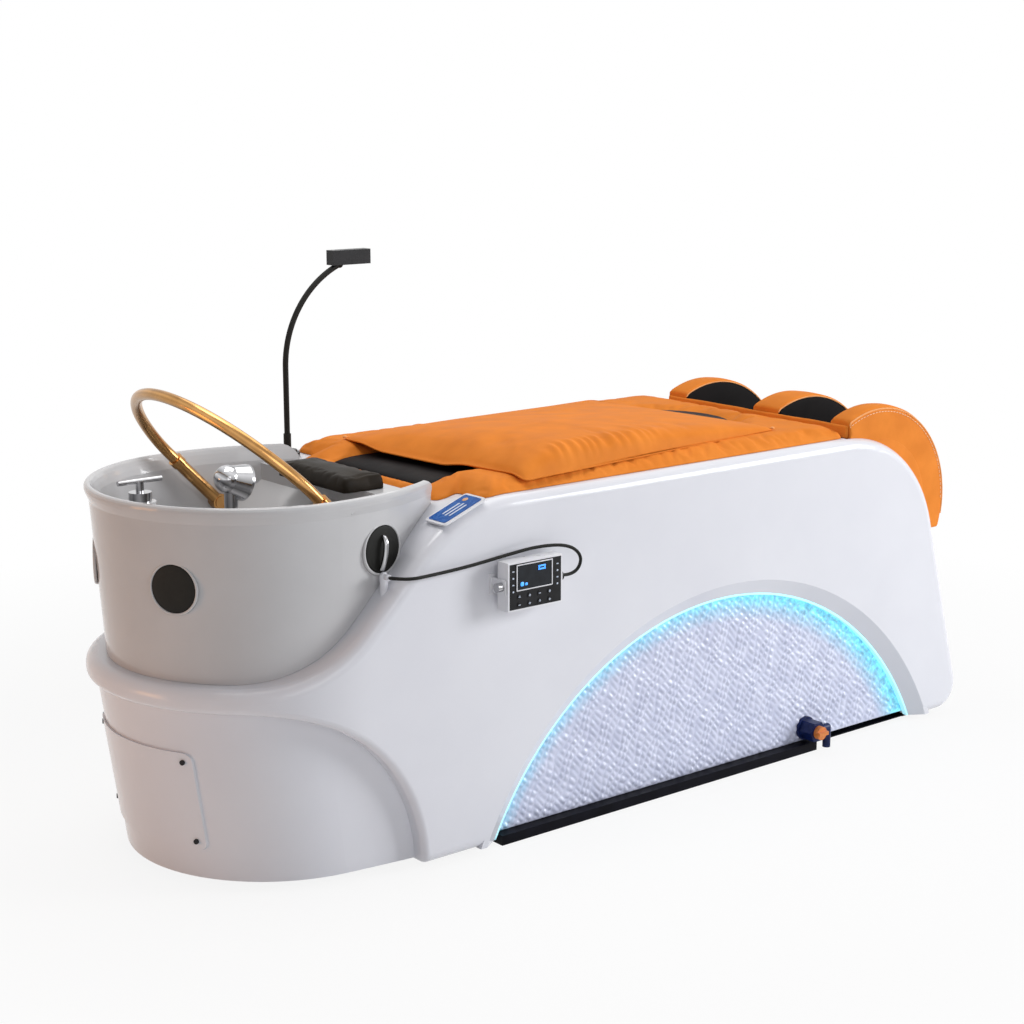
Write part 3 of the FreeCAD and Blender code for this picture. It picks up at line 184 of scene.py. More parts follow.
def glow(name, colour, strength):
    """A surface that shines in its own colour."""
    material = surface(name, colour, colour, 20, (0.3, 0.4))
    shader = material.node_tree.nodes["Principled BSDF"]
    shader.inputs["Emission Color"].default_value = list(colour) + [1]
    shader.inputs["Emission Strength"].default_value = strength
    return material


shell_white = surface("shell_white", (0.73, 0.735, 0.78), (0.765, 0.77, 0.81), 220, (0.16, 0.24), coat=0.1,
                      shine=0.35)
relief(shell_white, "noise", 90, 1.2, 0.06)
relief(shell_white, "noise", 3, 0.06, 0.05)
# Painted shade: the basin's white is set darker than the shell's, standing in for the shade and dark
# reflections that fall over the bowl.
shaded_basin_white = surface("shaded_basin_white", (0.55, 0.548, 0.555), (0.59, 0.588, 0.595), 160, (0.07, 0.12), coat=0.12,
                      shine=0.28)
relief(shaded_basin_white, "noise", 70, 0.9, 0.05)
orange_leather = leather("orange_leather", (0.70, 0.205, 0.024), (0.80, 0.25, 0.036), (0.58, 0.70), 0.09)
piping_orange = leather("piping_orange", (0.80, 0.33, 0.10), (0.88, 0.42, 0.16), (0.40, 0.52), 0.14)
black_leather = leather("black_leather", (0.006, 0.005, 0.005), (0.011, 0.009, 0.009), (0.42, 0.55), 0.04)
grey_leather = leather("grey_leather", (0.014, 0.011, 0.008), (0.024, 0.019, 0.014), (0.42, 0.54), 0.07)
thread = surface("thread", (0.85, 0.60, 0.38), (0.92, 0.72, 0.52), 3, (0.6, 0.75))
relief(thread, "noise", 0.6, 0.2, 0.6, (1, 6, 1))
chrome = surface("chrome", (0.62, 0.62, 0.64), (0.74, 0.74, 0.76), 25, (0.05, 0.11), metal=1)
relief(chrome, "noise", 14, 0.2, 0.05)
# Painted reflection: bands by facing stand in for studio cards mirrored in the chrome.
painted_reflection_bands(chrome, ((0.0, 0.30), (0.22, 1.0), (0.36, 0.22), (0.50, 0.85), (0.62, 0.30), (0.80, 1.0), (1.0, 0.55)))
gold = surface("gold", (0.56, 0.29, 0.10), (0.70, 0.38, 0.14), 30, (0.18, 0.28), metal=1)
# Painted reflection: bands by facing stand in for studio cards mirrored in the gold.
painted_reflection_bands(gold, ((0.0, 0.50), (0.25, 0.72), (0.40, 0.62), (0.58, 1.0), (0.75, 0.60), (1.0, 0.85)))
relief(gold, "noise", 1.5, 0.05, 0.12, (1, 6, 1))
steel = surface("steel", (0.42, 0.42, 0.43), (0.55, 0.55, 0.56), 18, (0.26, 0.38), metal=1)
relief(steel, "noise", 1.2, 0.06, 0.2, (8, 1, 1))
aluminium = surface("aluminium", (0.60, 0.61, 0.62), (0.70, 0.70, 0.71), 24, (0.30, 0.42), metal=1)
relief(aluminium, "noise", 1.5, 0.06, 0.2, (1, 8, 1))
# Near-black steel for the frame parts; on the underframe's rail under the lit panel it is also a painted
# shadow, a dark strip set where the shade under the bed falls.
black_steel = surface("black_steel", (0.002, 0.002, 0.004), (0.005, 0.005, 0.009), 40, (0.34, 0.48),
                      shine=0.06)
relief(black_steel, "noise", 1.4, 0.12, 0.25)
black_plastic = surface("black_plastic", (0.007, 0.007, 0.008), (0.013, 0.013, 0.015), 25, (0.30, 0.42),
                        shine=0.2)
relief(black_plastic, "noise", 0.9, 0.10, 0.2)
black_rubber = surface("black_rubber", (0.009, 0.009, 0.008), (0.016, 0.016, 0.014), 20, (0.50, 0.64),
                       shine=0.15)
relief(black_rubber, "noise", 1.1, 0.12, 0.3)
white_plastic = surface("white_plastic", (0.74, 0.74, 0.77), (0.79, 0.79, 0.82), 40, (0.26, 0.36))
relief(white_plastic, "noise", 1.2, 0.06, 0.2)
blue_film = surface("blue_film", (0.006, 0.075, 0.33), (0.010, 0.12, 0.42), 14, (0.22, 0.32), shine=0.12)
relief(blue_film, "noise", 1.6, 0.05, 0.15)
pale_print = surface("pale_print", (0.50, 0.58, 0.72), (0.66, 0.72, 0.82), 6, (0.35, 0.5))
warm_print = surface("warm_print", (0.62, 0.30, 0.14), (0.78, 0.45, 0.24), 5, (0.35, 0.5))
navy_plastic = surface("navy_plastic", (0.004, 0.010, 0.055), (0.009, 0.020, 0.100), 12, (0.28, 0.40),
                       shine=0.2)
relief(navy_plastic, "noise", 1.0, 0.10, 0.2)
orange_plastic = surface("orange_plastic", (0.62, 0.17, 0.03), (0.75, 0.24, 0.05), 8, (0.30, 0.42))
relief(orange_plastic, "noise", 0.9, 0.08, 0.2)
dark_glass = surface("dark_glass", (0.008, 0.010, 0.014), (0.014, 0.017, 0.022), 18, (0.05, 0.10), shine=0.25)
screen_blue = glow("screen_blue", (0.05, 0.30, 0.90), 1.1)
strip_glow = glow("strip_glow", (0.50, 0.90, 1.0), 0.38)

# Finish of each CAD node that stays in view
KEYS = ["control_key_%d" % number for number in range(1, 9)]
LOOKS = {
    shell_white: ("base_shell", "service_cover", "cord_outlet"),
    shaded_basin_white: ("wash_basin",),
    # Painted shadow: the underframe's near-black rail under the lit panel stands in for the shade under the
    # bed as well as a black base frame.
    black_steel: ("underframe", "massage_rails", "leg_core"),
    strip_glow: ("light_strips",),
    black_plastic: ("fixing_screws", "control_face", "phone_clamp", "clamp_jaw", "arm_socket",
                    "control_gland", "massage_carriage", "leg_motor", "carriage_motor", "leg_bearing",
                    *KEYS),
    black_rubber: ("port_covers", "gooseneck", "front_rollers", "rear_rollers"),
    chrome: ("drain_fitting", "mixer_body", "mixer_handle", "shower_post", "shower_head",
             "control_thumbscrew"),
    gold: ("water_arch", "arch_pivots"),
    steel: ("lead_screw", "leg_axle"),
    aluminium: ("power_supply", "water_pump"),
    white_plastic: ("keypad_frame", "control_bracket", "control_box", "water_tank"),
    blue_film: ("keypad_membrane",),
    dark_glass: ("control_screen",),
    navy_plastic: ("valve_body",),
    orange_plastic: ("valve_knob",),
}
for material, names in LOOKS.items():
    for name in names:
        nodes[name].data.materials.clear()
        nodes[name].data.materials.append(material)


# Helpers for new pieces
def box_of(name):
    """A CAD node's lowest and highest corners in millimetres."""
    return [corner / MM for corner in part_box(name)]


def piece(name, points, faces, materials, body, slot, levels=0):
    """A smooth mesh from points in millimetres, carried by a CAD body."""
    mesh = bpy.data.meshes.new(name)
    mesh.from_pydata((np.asarray(points, float) * MM).tolist(), [], [list(face) for face in faces])
    mesh.validate()
    mesh.polygons.foreach_set("use_smooth", [True] * len(mesh.polygons))
    for material in materials:
        mesh.materials.append(material)
    item = bpy.data.objects.new(name, mesh)
    scene.collection.objects.link(item)
    if levels:
        refine = item.modifiers.new("refine", "SUBSURF")
        refine.levels = levels
        refine.render_levels = levels
    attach(item, body)
    return item


def tube(name, lines, radius, material, body, closed=False):
    """Round beads along one or more lines of points in millimetres."""
    curve = bpy.data.curves.new(name, "CURVE")
    curve.dimensions = "3D"
    curve.bevel_depth = 1
    curve.bevel_resolution = 3
    curve.resolution_u = 6
    curve.use_fill_caps = True
    for line in lines:
        spline = curve.splines.new("NURBS")
        spline.points.add(len(line) - 1)
        for point, target in zip(line, spline.points):
            target.co = [value * MM for value in point] + [1]
            target.radius = radius * MM
        spline.order_u = 3
        spline.use_endpoint_u = not closed
        spline.use_cyclic_u = closed
    curve.materials.append(material)
    item = bpy.data.objects.new(name, curve)
    scene.collection.objects.link(item)
    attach(item, body)
    return item


def merged(parts):
    """One list of points and one of faces from several."""
    points = []
    faces = []
    for part_points, part_faces in parts:
        start = len(points)
        points += [tuple(point) for point in part_points]
        faces += [tuple(index + start for index in face) for face in part_faces]
    return points, faces


def slab(centre, along, across, thickness, radius=1.0, steps=4):
    """A thin plate with rounded corners; along and across are half-length vectors."""
    along = Vector(along)
    across = Vector(across)
    normal = along.cross(across).normalized()
    length, width = along.length, across.length
    radius = min(radius, 0.95 * length, 0.95 * width)
    outline = []
    for corner, (sx, sy) in enumerate(((1, 1), (-1, 1), (-1, -1), (1, -1))):
        for step in range(steps + 1):
            turn = math.radians(90 * corner + 90 * step / steps)
            outline.append((sx * (length - radius) + radius * math.cos(turn),
                            sy * (width - radius) + radius * math.sin(turn)))
    count = len(outline)
    points = []
    for shrink, lift in ((1, 0), (1, 0.65), (0.97, 1)):
        for x, y in outline:
            points.append(Vector(centre) + along.normalized() * x * shrink + across.normalized() * y * shrink
                          + normal * thickness * lift)
    faces = [tuple(reversed(range(count))), tuple(range(2 * count, 3 * count))]
    for layer in range(2):
        for index in range(count):
            after = (index + 1) % count
            faces.append((layer * count + index, layer * count + after,
                          (layer + 1) * count + after, (layer + 1) * count + index))
    return points, faces


def turned(profile, centre, axis, steps=40):
    """A body of revolution from (radius, height) pairs about an axis."""
    axis = Vector(axis).normalized()
    side = axis.orthogonal().normalized()
    other = axis.cross(side)
    points = []
    for radius, height in profile:
        for step in range(steps):
            turn = 2 * math.pi * step / steps
            points.append(Vector(centre) + axis * height + side * radius * math.cos(turn)
                          + other * radius * math.sin(turn))
    faces = []
    for ring in range(len(profile) - 1):
        for step in range(steps):
            after = (step + 1) % steps
            faces.append((ring * steps + step, ring * steps + after,
                          (ring + 1) * steps + after, (ring + 1) * steps + step))
    faces.append(tuple(reversed(range(steps))))
    faces.append(tuple(range((len(profile) - 1) * steps, len(profile) * steps)))
    return points, faces


def smooth(low, high, value):
    """0 at low and beyond, 1 at high and beyond, with a smooth rise between."""
    share = np.clip((value - low) / (high - low), 0, 1)
    return share * share * (3 - 2 * share)


def ridges(x, y, seed, count, span_x, span_y, length, width, height, slant):
    """Soft folds: long narrow bumps with seeded places, all leaning the same way."""
    chance = random.Random(seed)
    total = np.zeros_like(x)
    for _ in range(count):
        middle_x = chance.uniform(*span_x)
        middle_y = chance.uniform(*span_y)
        turn = math.radians(slant + chance.uniform(-12, 12))
        reach = length * chance.uniform(0.6, 1.3)
        wide = width * chance.uniform(0.7, 1.4)
        tall = height * chance.uniform(0.4, 1.0) * chance.choice((1, 1, -0.7))
        run = (x - middle_x) * math.cos(turn) + (y - middle_y) * math.sin(turn)
        off = (y - middle_y) * math.cos(turn) - (x - middle_x) * math.sin(turn)
        total += tall * np.exp(-(run / reach) ** 2 - (off / wide) ** 2)
    return total


def rounded_box(x, y, x0, x1, y0, y1, radius):
    """Distance inside a rounded rectangle: positive within, negative outside."""
    dx = np.abs(x - (x0 + x1) / 2) - (x1 - x0) / 2 + radius
    dy = np.abs(y - (y0 + y1) / 2) - (y1 - y0) / 2 + radius
    outer = np.hypot(np.maximum(dx, 0), np.maximum(dy, 0))
    return radius - outer - np.minimum(np.maximum(dx, dy), 0)


def field(inside, x_range, y_range, step):
    """A grid over a region, its border cells drawn in to the region's edge.

    Returns the points' x and y, each point's distance from the edge, the cells and the edge's runs."""
    xs = np.arange(x_range[0] - step, x_range[1] + step, step)
    ys = np.arange(y_range[0] - step, y_range[1] + step, step)
    x, y = [part.ravel() for part in np.meshgrid(xs, ys, indexing="ij")]
    within = inside(x, y) > 0
    columns = len(ys)
    cells = []
    for i in range(len(xs) - 1):
        for j in range(columns - 1):
            cell = (i * columns + j, (i + 1) * columns + j, (i + 1) * columns + j + 1, i * columns + j + 1)
            if any(within[index] for index in cell):
                cells.append(cell)
    used = sorted({index for cell in cells for index in cell})
    renumber = {old: new for new, old in enumerate(used)}
    cells = [tuple(renumber[index] for index in cell) for cell in cells]
    x, y = x[used], y[used]
    for _ in range(4):
        depth = inside(x, y)
        slope_x = (inside(x + 0.5, y) - inside(x - 0.5, y))
        slope_y = (inside(x, y + 0.5) - inside(x, y - 0.5))
        size = np.maximum(np.hypot(slope_x, slope_y), 0.3)
        move = np.where(depth < 0, -depth / size, 0)
        x = x + move * slope_x / size
        y = y + move * slope_y / size
    runs = {}
    for cell in cells:
        for first, second in zip(cell, cell[1:] + cell[:1]):
            if (second, first) in runs:
                del runs[(second, first)]
            else:
                runs[(first, second)] = True
    return x, y, np.maximum(inside(x, y), 0), cells, list(runs)


def quilt(x, y, top, bottom, cells, runs):
    """A closed body between two heights over the same grid."""
    count = len(x)
    points = np.concatenate([np.stack([x, y, top], 1), np.stack([x, y, bottom], 1)])
    faces = list(cells)
    faces += [tuple(index + count for index in reversed(cell)) for cell in cells]
    faces += [(second, first, first + count, second + count) for first, second in runs]
    return points, faces


def coordinates(mesh):
    """A mesh's points in metres, one row each."""
    flat = np.empty(3 * len(mesh.vertices))
    mesh.vertices.foreach_get("co", flat)
    return flat.reshape(-1, 3)


CLOTH_FRAMES = 20


def stuffed(item, held, growth, reach, ceiling=None):
    """Cloth simulation: a slightly oversize cover is blown up from inside while its held points stay put.

    Growth is the cover's extra length as a share. Reach, in millimetres, is the farthest that a point may
    move, and no point is lifted above the ceiling."""
    rest = coordinates(item.data)
    group = item.vertex_groups.new(name="held")
    group.add([int(index) for index in held], 1.0, "REPLACE")
    for modifier in item.modifiers:
        modifier.show_viewport = False
    cloth = item.modifiers.new("cloth", "CLOTH")
    rules = cloth.settings
    rules.quality = 5
    rules.mass = 0.15
    rules.tension_stiffness = 14
    rules.compression_stiffness = 14
    rules.shear_stiffness = 5
    rules.bending_stiffness = 0.35
    rules.use_pressure = True
    rules.uniform_pressure_force = 4
    rules.shrink_min = -growth
    rules.vertex_group_mass = "held"
    rules.effector_weights.gravity = 0
    cloth.collision_settings.use_collision = False
    cloth.point_cache.frame_end = CLOTH_FRAMES
    for number in range(1, CLOTH_FRAMES + 1):
        scene.frame_set(number)
    moved = coordinates(item.evaluated_get(bpy.context.evaluated_depsgraph_get()).data)
    step = moved - rest
    length = np.linalg.norm(step, axis=1, keepdims=True)
    places = rest + step * np.minimum(1, reach * MM / np.maximum(length, 1e-9))
    if ceiling is not None:
        places[:, 2] = np.minimum(places[:, 2], np.maximum(rest[:, 2], ceiling * MM))
    item.modifiers.remove(cloth)
    scene.frame_set(1)
    item.data.vertices.foreach_set("co", places.ravel())
    item.data.update()
    for modifier in item.modifiers:
        modifier.show_viewport = True


# Lead from the basin to the control box: the route of the CAD source in metres
CORD_ROUTE = ((-0.614, -0.330, 0.580), (-0.600, -0.367, 0.581), (-0.542, -0.364, 0.581),
              (-0.456, -0.363, 0.584), (-0.372, -0.366, 0.593), (-0.296, -0.372, 0.601),
              (-0.226, -0.380, 0.595), (-0.194, -0.382, 0.566), (-0.213, -0.382, 0.534),
              (-0.246, -0.382, 0.538))
route = [[value / MM for value in point] for point in CORD_ROUTE]
cord = tube("control_lead", [route], 3.25, black_rubber, "frame")
cord.data.resolution_u = 16
cord.data.bevel_resolution = 6
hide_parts("control_cord")

# Upholstery sizes shared by the mattress, the black insert and the pad
DECK = 700
SIDE = 325
HEAD_X = -395
FOOT_X = 618
INSERT_HALF = 162
INSERT_END = 360
RAMP_END = -340
RAMP_RADIUS = 304.2


def deck_height(x):
    """Top of the moulded body: flat deck, then the upper arc of the ramp."""
    back = np.clip(RAMP_END - x, 0, 200)
    return DECK - RAMP_RADIUS + np.sqrt(RAMP_RADIUS ** 2 - back ** 2)


def insert_inside(x, y):
    """Distance inside the black insert's outline."""
    straight = rounded_box(x, y, HEAD_X - 12, INSERT_END, -INSERT_HALF, INSERT_HALF, 1)
    end = INSERT_HALF - np.hypot(x - INSERT_END, y)
    return np.maximum(straight, end)


def mattress_inside(x, y):
    """Distance inside the mattress's outline, a U round the insert."""
    main = rounded_box(x, y, HEAD_X, FOOT_X, -SIDE, SIDE, 26)
    roll = rounded_box(x, y, HEAD_X - 44, HEAD_X + 90, -246, 246, 24)
    return np.minimum(np.maximum(main, roll), -insert_inside(x, y))


def padding(depth, edge, crown):
    """Height of stuffed leather at a distance from its edge."""
    near = np.sqrt(np.clip(1 - (1 - np.clip(depth / 30, 0, 1)) ** 2, 0, 1))
    return edge * near + (crown - edge) * smooth(0, 95, depth)


# Mattress: a padded U round the black insert, with a low roll at the neck
x, y, depth, cells, runs = field(mattress_inside, (HEAD_X - 44, FOOT_X), (-SIDE, SIDE), 6)
height = padding(depth, 17, 26)
height *= 0.55 + 0.45 * smooth(HEAD_X - 30, HEAD_X + 60, x)
# Seed, count, x range, y range, length, width, height and slant of each group of folds
FOLDS = ((4, 26, (-260, 240), (-322, -268), 30, 7, 2.4, 62),
         (9, 12, (HEAD_X - 20, HEAD_X + 130), (-312, -190), 26, 9, 3.0, 40),
         (12, 10, (HEAD_X - 10, HEAD_X + 120), (180, 300), 24, 9, 2.0, -30),
         (15, 20, (-200, 560), (190, 318), 34, 10, 1.4, -60))
folds = np.zeros_like(x)
for fold in FOLDS:
    folds += ridges(x, y, *fold)
height += folds * smooth(2, 16, depth)
base = deck_height(x) + 0.4
points, faces = quilt(x, y, base + height + 0.6, base, cells, runs)
mattress = piece("mattress_upholstery", points, faces, [orange_leather], "frame", "orange_leather", 1)
held = np.concatenate([np.arange(len(x), 2 * len(x)), np.flatnonzero(depth < 3)])
stuffed(mattress, held, 0.03, 5, DECK + 27.6)
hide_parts("mattress")

# Black leather insert over the massage rollers
x, y, depth, cells, runs = field(lambda x, y: insert_inside(x, y) - 0.8,
                                 (HEAD_X - 12, INSERT_END + INSERT_HALF), (-INSERT_HALF, INSERT_HALF), 8)
height = 3 + 5 * np.sqrt(np.clip(1 - (1 - np.clip(depth / 40, 0, 1)) ** 2, 0, 1))
height += 17 * smooth(360, 430, x)
height += ridges(x, y, 21, 24, (HEAD_X, 500), (-150, 150), 60, 14, 1.2, 80) * smooth(4, 30, depth)
base = deck_height(x) + 0.4
points, faces = quilt(x, y, base + height, base, cells, runs)
insert = piece("massage_insert", points, faces, [black_leather], "frame", "black_leather", 1)
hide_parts("massage_cover")

# Loose pad lying a little askew on the mattress
PAD_LENGTH = 748
PAD_WIDTH = 553
PAD_TURN = math.radians(4.4)
PAD_MIDDLE = (58, -20)
PAD_BASE = DECK + 28.4
PAD_CROWN = 43
PLEAT_HEIGHT = 4.2


def pad_place(u, v):
    """A point of the pad's own plan in the bed's plan."""
    return (PAD_MIDDLE[0] + u * math.cos(PAD_TURN) - v * math.sin(PAD_TURN),
            PAD_MIDDLE[1] + u * math.sin(PAD_TURN) + v * math.cos(PAD_TURN))


def pad_inside(x, y):
    """Distance inside the pad's outline, in the pad's own plan."""
    bulge = 10 * (1 - (2 * y / PAD_WIDTH) ** 2)
    return rounded_box(x + bulge * smooth(-100, -374, x), y, -PAD_LENGTH / 2, PAD_LENGTH / 2, -PAD_WIDTH / 2,
                       PAD_WIDTH / 2, 16)


u, v, depth, cells, runs = field(pad_inside, (-PAD_LENGTH / 2 - 12, PAD_LENGTH / 2),
                                 (-PAD_WIDTH / 2, PAD_WIDTH / 2), 6)
near = v + PAD_WIDTH / 2
far = PAD_WIDTH / 2 - v
head = u + PAD_LENGTH / 2
foot = PAD_LENGTH / 2 - u
shape = np.clip(1 - (1 - np.clip(near / 58, 0, 1)) ** 2.6, 0, 1) ** 0.6
shape *= np.clip(1 - (1 - np.clip(head / 150, 0, 1)) ** 2, 0, 1) ** 0.7
shape *= np.clip(far / 330, 0, 1) ** 0.62
shape *= np.clip(foot / 460, 0, 1) ** 0.60
height = PAD_CROWN * shape + 3.5 * np.sqrt(np.clip(depth / 8, 0, 1))
pleats = np.cos(u / 4.4 + 1.7 * np.sin(u / 31) + 0.9 * np.sin(u / 13.7))
pleats *= np.exp(-((near - 24) / 18) ** 2) * smooth(50, 130, head) * (1 - smooth(300, 460, head))
height += PLEAT_HEIGHT * pleats
height += ridges(u, v, 31, 14, (-120, 140), (-250, -190), 34, 9, 3.0, 70) * smooth(4, 30, depth)
height += ridges(u, v, 33, 9, (-350, -250), (-250, -60), 30, 12, 3.4, 30) * smooth(4, 30, depth)
height += ridges(u, v, 35, 10, (-300, 300), (-120, 250), 90, 30, 1.6, 20) * smooth(4, 40, depth)
x, y = pad_place(u, v)
sag = 9 * smooth(60, 0, head) * smooth(170, 90, np.abs(y))
droop = 12 * smooth(SIDE - 34, SIDE + 6, np.abs(y))
base = PAD_BASE - sag - droop
points, faces = quilt(x, y, base + height, base, cells, runs)
pad = piece("loose_pad", points, faces, [orange_leather], "frame", "orange_leather", 1)
held = np.concatenate([np.arange(len(x), 2 * len(x)), np.flatnonzero(depth < 4)])
stuffed(pad, held, 0.07, 10)
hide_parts("bed_pad")

# Seam bead round the pad's lower edge and the pale tips of its corners
seam = []
for first, second in runs[::2]:
    seam.append(((x[first] + x[second]) / 2, (y[first] + y[second]) / 2, base[first] + 1.6))
seam.sort(key=lambda point: math.atan2(point[1] - PAD_MIDDLE[1], point[0] - PAD_MIDDLE[0]))
tube("pad_seam", [seam], 2.0, orange_leather, "frame", True)
TIP_PROFILE = [(0.5, 0), (3.4, 0.6), (4.6, 2.2), (4.0, 4.4), (2.0, 5.6), (0.4, 5.9)]
tips = []
for sign_u, sign_v in ((1, -1), (-1, 1)):
    place = pad_place(sign_u * (PAD_LENGTH / 2 - 3), sign_v * (PAD_WIDTH / 2 - 3))
    tips.append(turned(TIP_PROFILE, (*place, DECK + 30), (0, 0, 1), 20))
piece("pad_buttons", *merged(tips), [piping_orange], "frame", "orange_leather")

# Neck pillow: a firm slab of dark leather on the basin's neck tray
low, high = box_of("neck_pillow")
u, v, depth, cells, runs = field(lambda x, y: rounded_box(x, y, low.x, high.x, low.y, high.y, 12),
                                 (low.x, high.x), (low.y, high.y), 4)
height = 8 + 19 * np.sqrt(np.clip(1 - (1 - np.clip(depth / 9, 0, 1)) ** 2, 0, 1)) + 1.6 * smooth(0, 45, depth)
height += ridges(u, v, 41, 10, (low.x, high.x), (low.y, high.y), 30, 8, 0.8, 80) * smooth(3, 12, depth)
base = np.full_like(u, low.z + 0.4)
points, faces = quilt(u, v, base + height, base, cells, runs)
pillow = piece("neck_rest", points, faces, [grey_leather], "frame", "black_leather", 1)
held = np.concatenate([np.arange(len(u), 2 * len(u)), np.flatnonzero(depth < 3)])
stuffed(pillow, held, 0.03, 3)
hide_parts("neck_pillow")

# Leg unit: stuffed drum walls, black wells between them and the trim bar at their foot
LEG_X = 725
LEG_Z = 527
HEAD_FACE = 625.4
LOW_FACE = 457.5


def drum(near, far, inner, outer, corner, bulge, start, end, steps=72):
    """A padded wall or liner turned about the leg axis and cut flat at the head and underneath.

    The third result says of each face whether it is on the tread (0), the near side (1) or the far
    side (2)."""
    profile = [(inner, near, 0)]
    for share in np.linspace(0, 1, 7)[1:]:
        radius = inner + share * (outer - corner - inner)
        profile.append((radius, near - bulge * math.sin(math.pi * share) ** 0.8, 0))
    flat = outer - corner
    for turn in np.linspace(0, 90, 6)[1:]:
        angle = math.radians(turn)
        profile.append((flat + corner * math.sin(angle), near + corner - corner * math.cos(angle), 1))
    for share in np.linspace(0, 1, 6)[1:-1]:
        swell = 1.5 * math.sin(math.pi * share)
        profile.append((outer + swell, near + corner + share * (far - near - 2 * corner), 1))
    for turn in np.linspace(90, 0, 6):
        angle = math.radians(turn)
        profile.append((flat + corner * math.sin(angle), far - corner + corner * math.cos(angle), 1))
    for share in np.linspace(1, 0, 7)[1:]:
        radius = inner + share * (outer - corner - inner)
        profile.append((radius, far + bulge * math.sin(math.pi * share) ** 0.8, 0))
    points = []
    faces = []
    kinds = []
    width = len(profile)
    for step in range(steps + 1):
        angle = math.radians(start + (end - start) * step / steps)
        for radius, y, kind in profile:
            points.append((max(LEG_X + radius * math.cos(angle), HEAD_FACE), y,
                           max(LEG_Z + radius * math.sin(angle), LOW_FACE)))
        if step < steps:
            for index in range(width - 1):
                here = step * width + index
                faces.append((here, here + 1, here + width + 1, here + width))
                tread = profile[index + 1][2] and profile[index][2]
                kinds.append(0 if tread else 1 if index < width / 2 else 2)
    return points, faces, kinds


WALLS = (("front", -330.4, -272.5), ("middle", -115, -35.8), ("rear", 185.2, 244.4))
WALL_START = -24
WALL_END = 150
WALL_INNER = 151
WALL_OUTER = 234
for label, near, far in WALLS:
    corner = 12 if label == "front" else 6
    points, faces, kinds = drum(near, far, WALL_INNER, WALL_OUTER, corner, 1.2, WALL_START, WALL_END)
    item = piece("leg_wall_" + label, points, faces, [orange_leather, black_leather], "leg_unit",
                 "orange_leather")
    black_sides = (2,) if label == "front" else (1, 2)
    item.data.polygons.foreach_set("material_index", [int(kind in black_sides) for kind in kinds])
points, faces, kinds = drum(245.4, 327.5, WALL_INNER, 166.5, 7, 0.6, WALL_START, WALL_END)
low_wall = piece("leg_wall_low", points, faces, [orange_leather], "leg_unit", "orange_leather")
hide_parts("leg_walls")
liners = []
for near, far in ((-271.8, -116.2), (-34.8, 184.2)):
    points, faces, kinds = drum(near, far, 150.6, 158.5, 3, 0, -16, WALL_END)
    liners.append((points, faces))
points, faces = merged(liners)
liner = piece("leg_well_lining", points, faces, [black_leather], "leg_unit", "black_leather")
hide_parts("leg_liner")


def rim_line(radius, y, first, last, steps=40):
    """An arc about the leg axis, cut flat at the head."""
    line = []
    for step in range(steps + 1):
        angle = math.radians(first + (last - first) * step / steps)
        line.append((max(LEG_X + radius * math.cos(angle), HEAD_FACE), y, LEG_Z + radius * math.sin(angle)))
    return line


points, faces, kinds = drum(-331.2, -330.4, 18, 158, 0.3, 0.4, WALL_START, WALL_END)
piece("leg_end_cover", points, faces, [orange_leather], "leg_unit", "orange_leather")
piping = [rim_line(229.5, near - 0.4, -10, 118) for label, near, far in WALLS[1:]]
tube("leg_piping", piping, 1.5, piping_orange, "leg_unit")
STITCH_PITCH = 2.6
STITCH_TURN = 1.5
stitches = []
for step in range(46):
    angle = 118 - STITCH_PITCH * step
    stitches.append(rim_line(221.5, -331.0, angle, angle - STITCH_TURN, 3))
tube("leg_stitches", stitches, 0.7, thread, "leg_unit")
tube("leg_front_piping", [rim_line(228, -329.4, -10, 119)], 1.8, piping_orange, "leg_unit")

# Trough under the leg unit, which closes the bay from the inside of the shell
TROUGH_RADIUS = 244
TROUGH_HALF = 331
TROUGH_STEPS = 36
TROUGH_THICKNESS = 2
trough_points = []
trough_faces = []
for step in range(TROUGH_STEPS + 1):
    angle = math.radians(-100 + 58 * step / TROUGH_STEPS)
    for side in (-TROUGH_HALF, TROUGH_HALF):
        trough_points.append((LEG_X + TROUGH_RADIUS * math.cos(angle), side,
                              LEG_Z + TROUGH_RADIUS * math.sin(angle)))
    if step < TROUGH_STEPS:
        trough_faces.append((2 * step, 2 * step + 2, 2 * step + 3, 2 * step + 1))
trough = piece("foot_bay_lining", trough_points, trough_faces, [black_plastic], "frame", "black_plastic")
thick = trough.modifiers.new("thickness", "SOLIDIFY")
thick.thickness = TROUGH_THICKNESS * MM

# Trim bar between the mattress and the leg unit
BAR_X = 619.2
bar_profile = [(0, 0), (0, 22), (0.8, 25), (2.6, 26.6), (4.2, 25.4), (4.8, 22), (4.8, 0)]
bar_points = []
bar_faces = []
stations = np.linspace(-326, 240, 90)
for station in stations:
    swell = 0.6 * math.sin(station / 47) + 0.4 * math.sin(station / 19 + 1)
    for along, up in bar_profile:
        bar_points.append((BAR_X + along, station, DECK + 0.6 + up * (1 + 0.03 * swell)))
count = len(bar_profile)
for index in range(len(stations) - 1):
    for side in range(count - 1):
        here = index * count + side
        bar_faces.append((here, here + count, here + count + 1, here + 1))
bar_faces.append(tuple(range(count)))
bar_faces.append(tuple(reversed(range((len(stations) - 1) * count, len(stations) * count))))
bar = piece("foot_trim", bar_points, bar_faces, [orange_leather], "frame", "orange_leather")

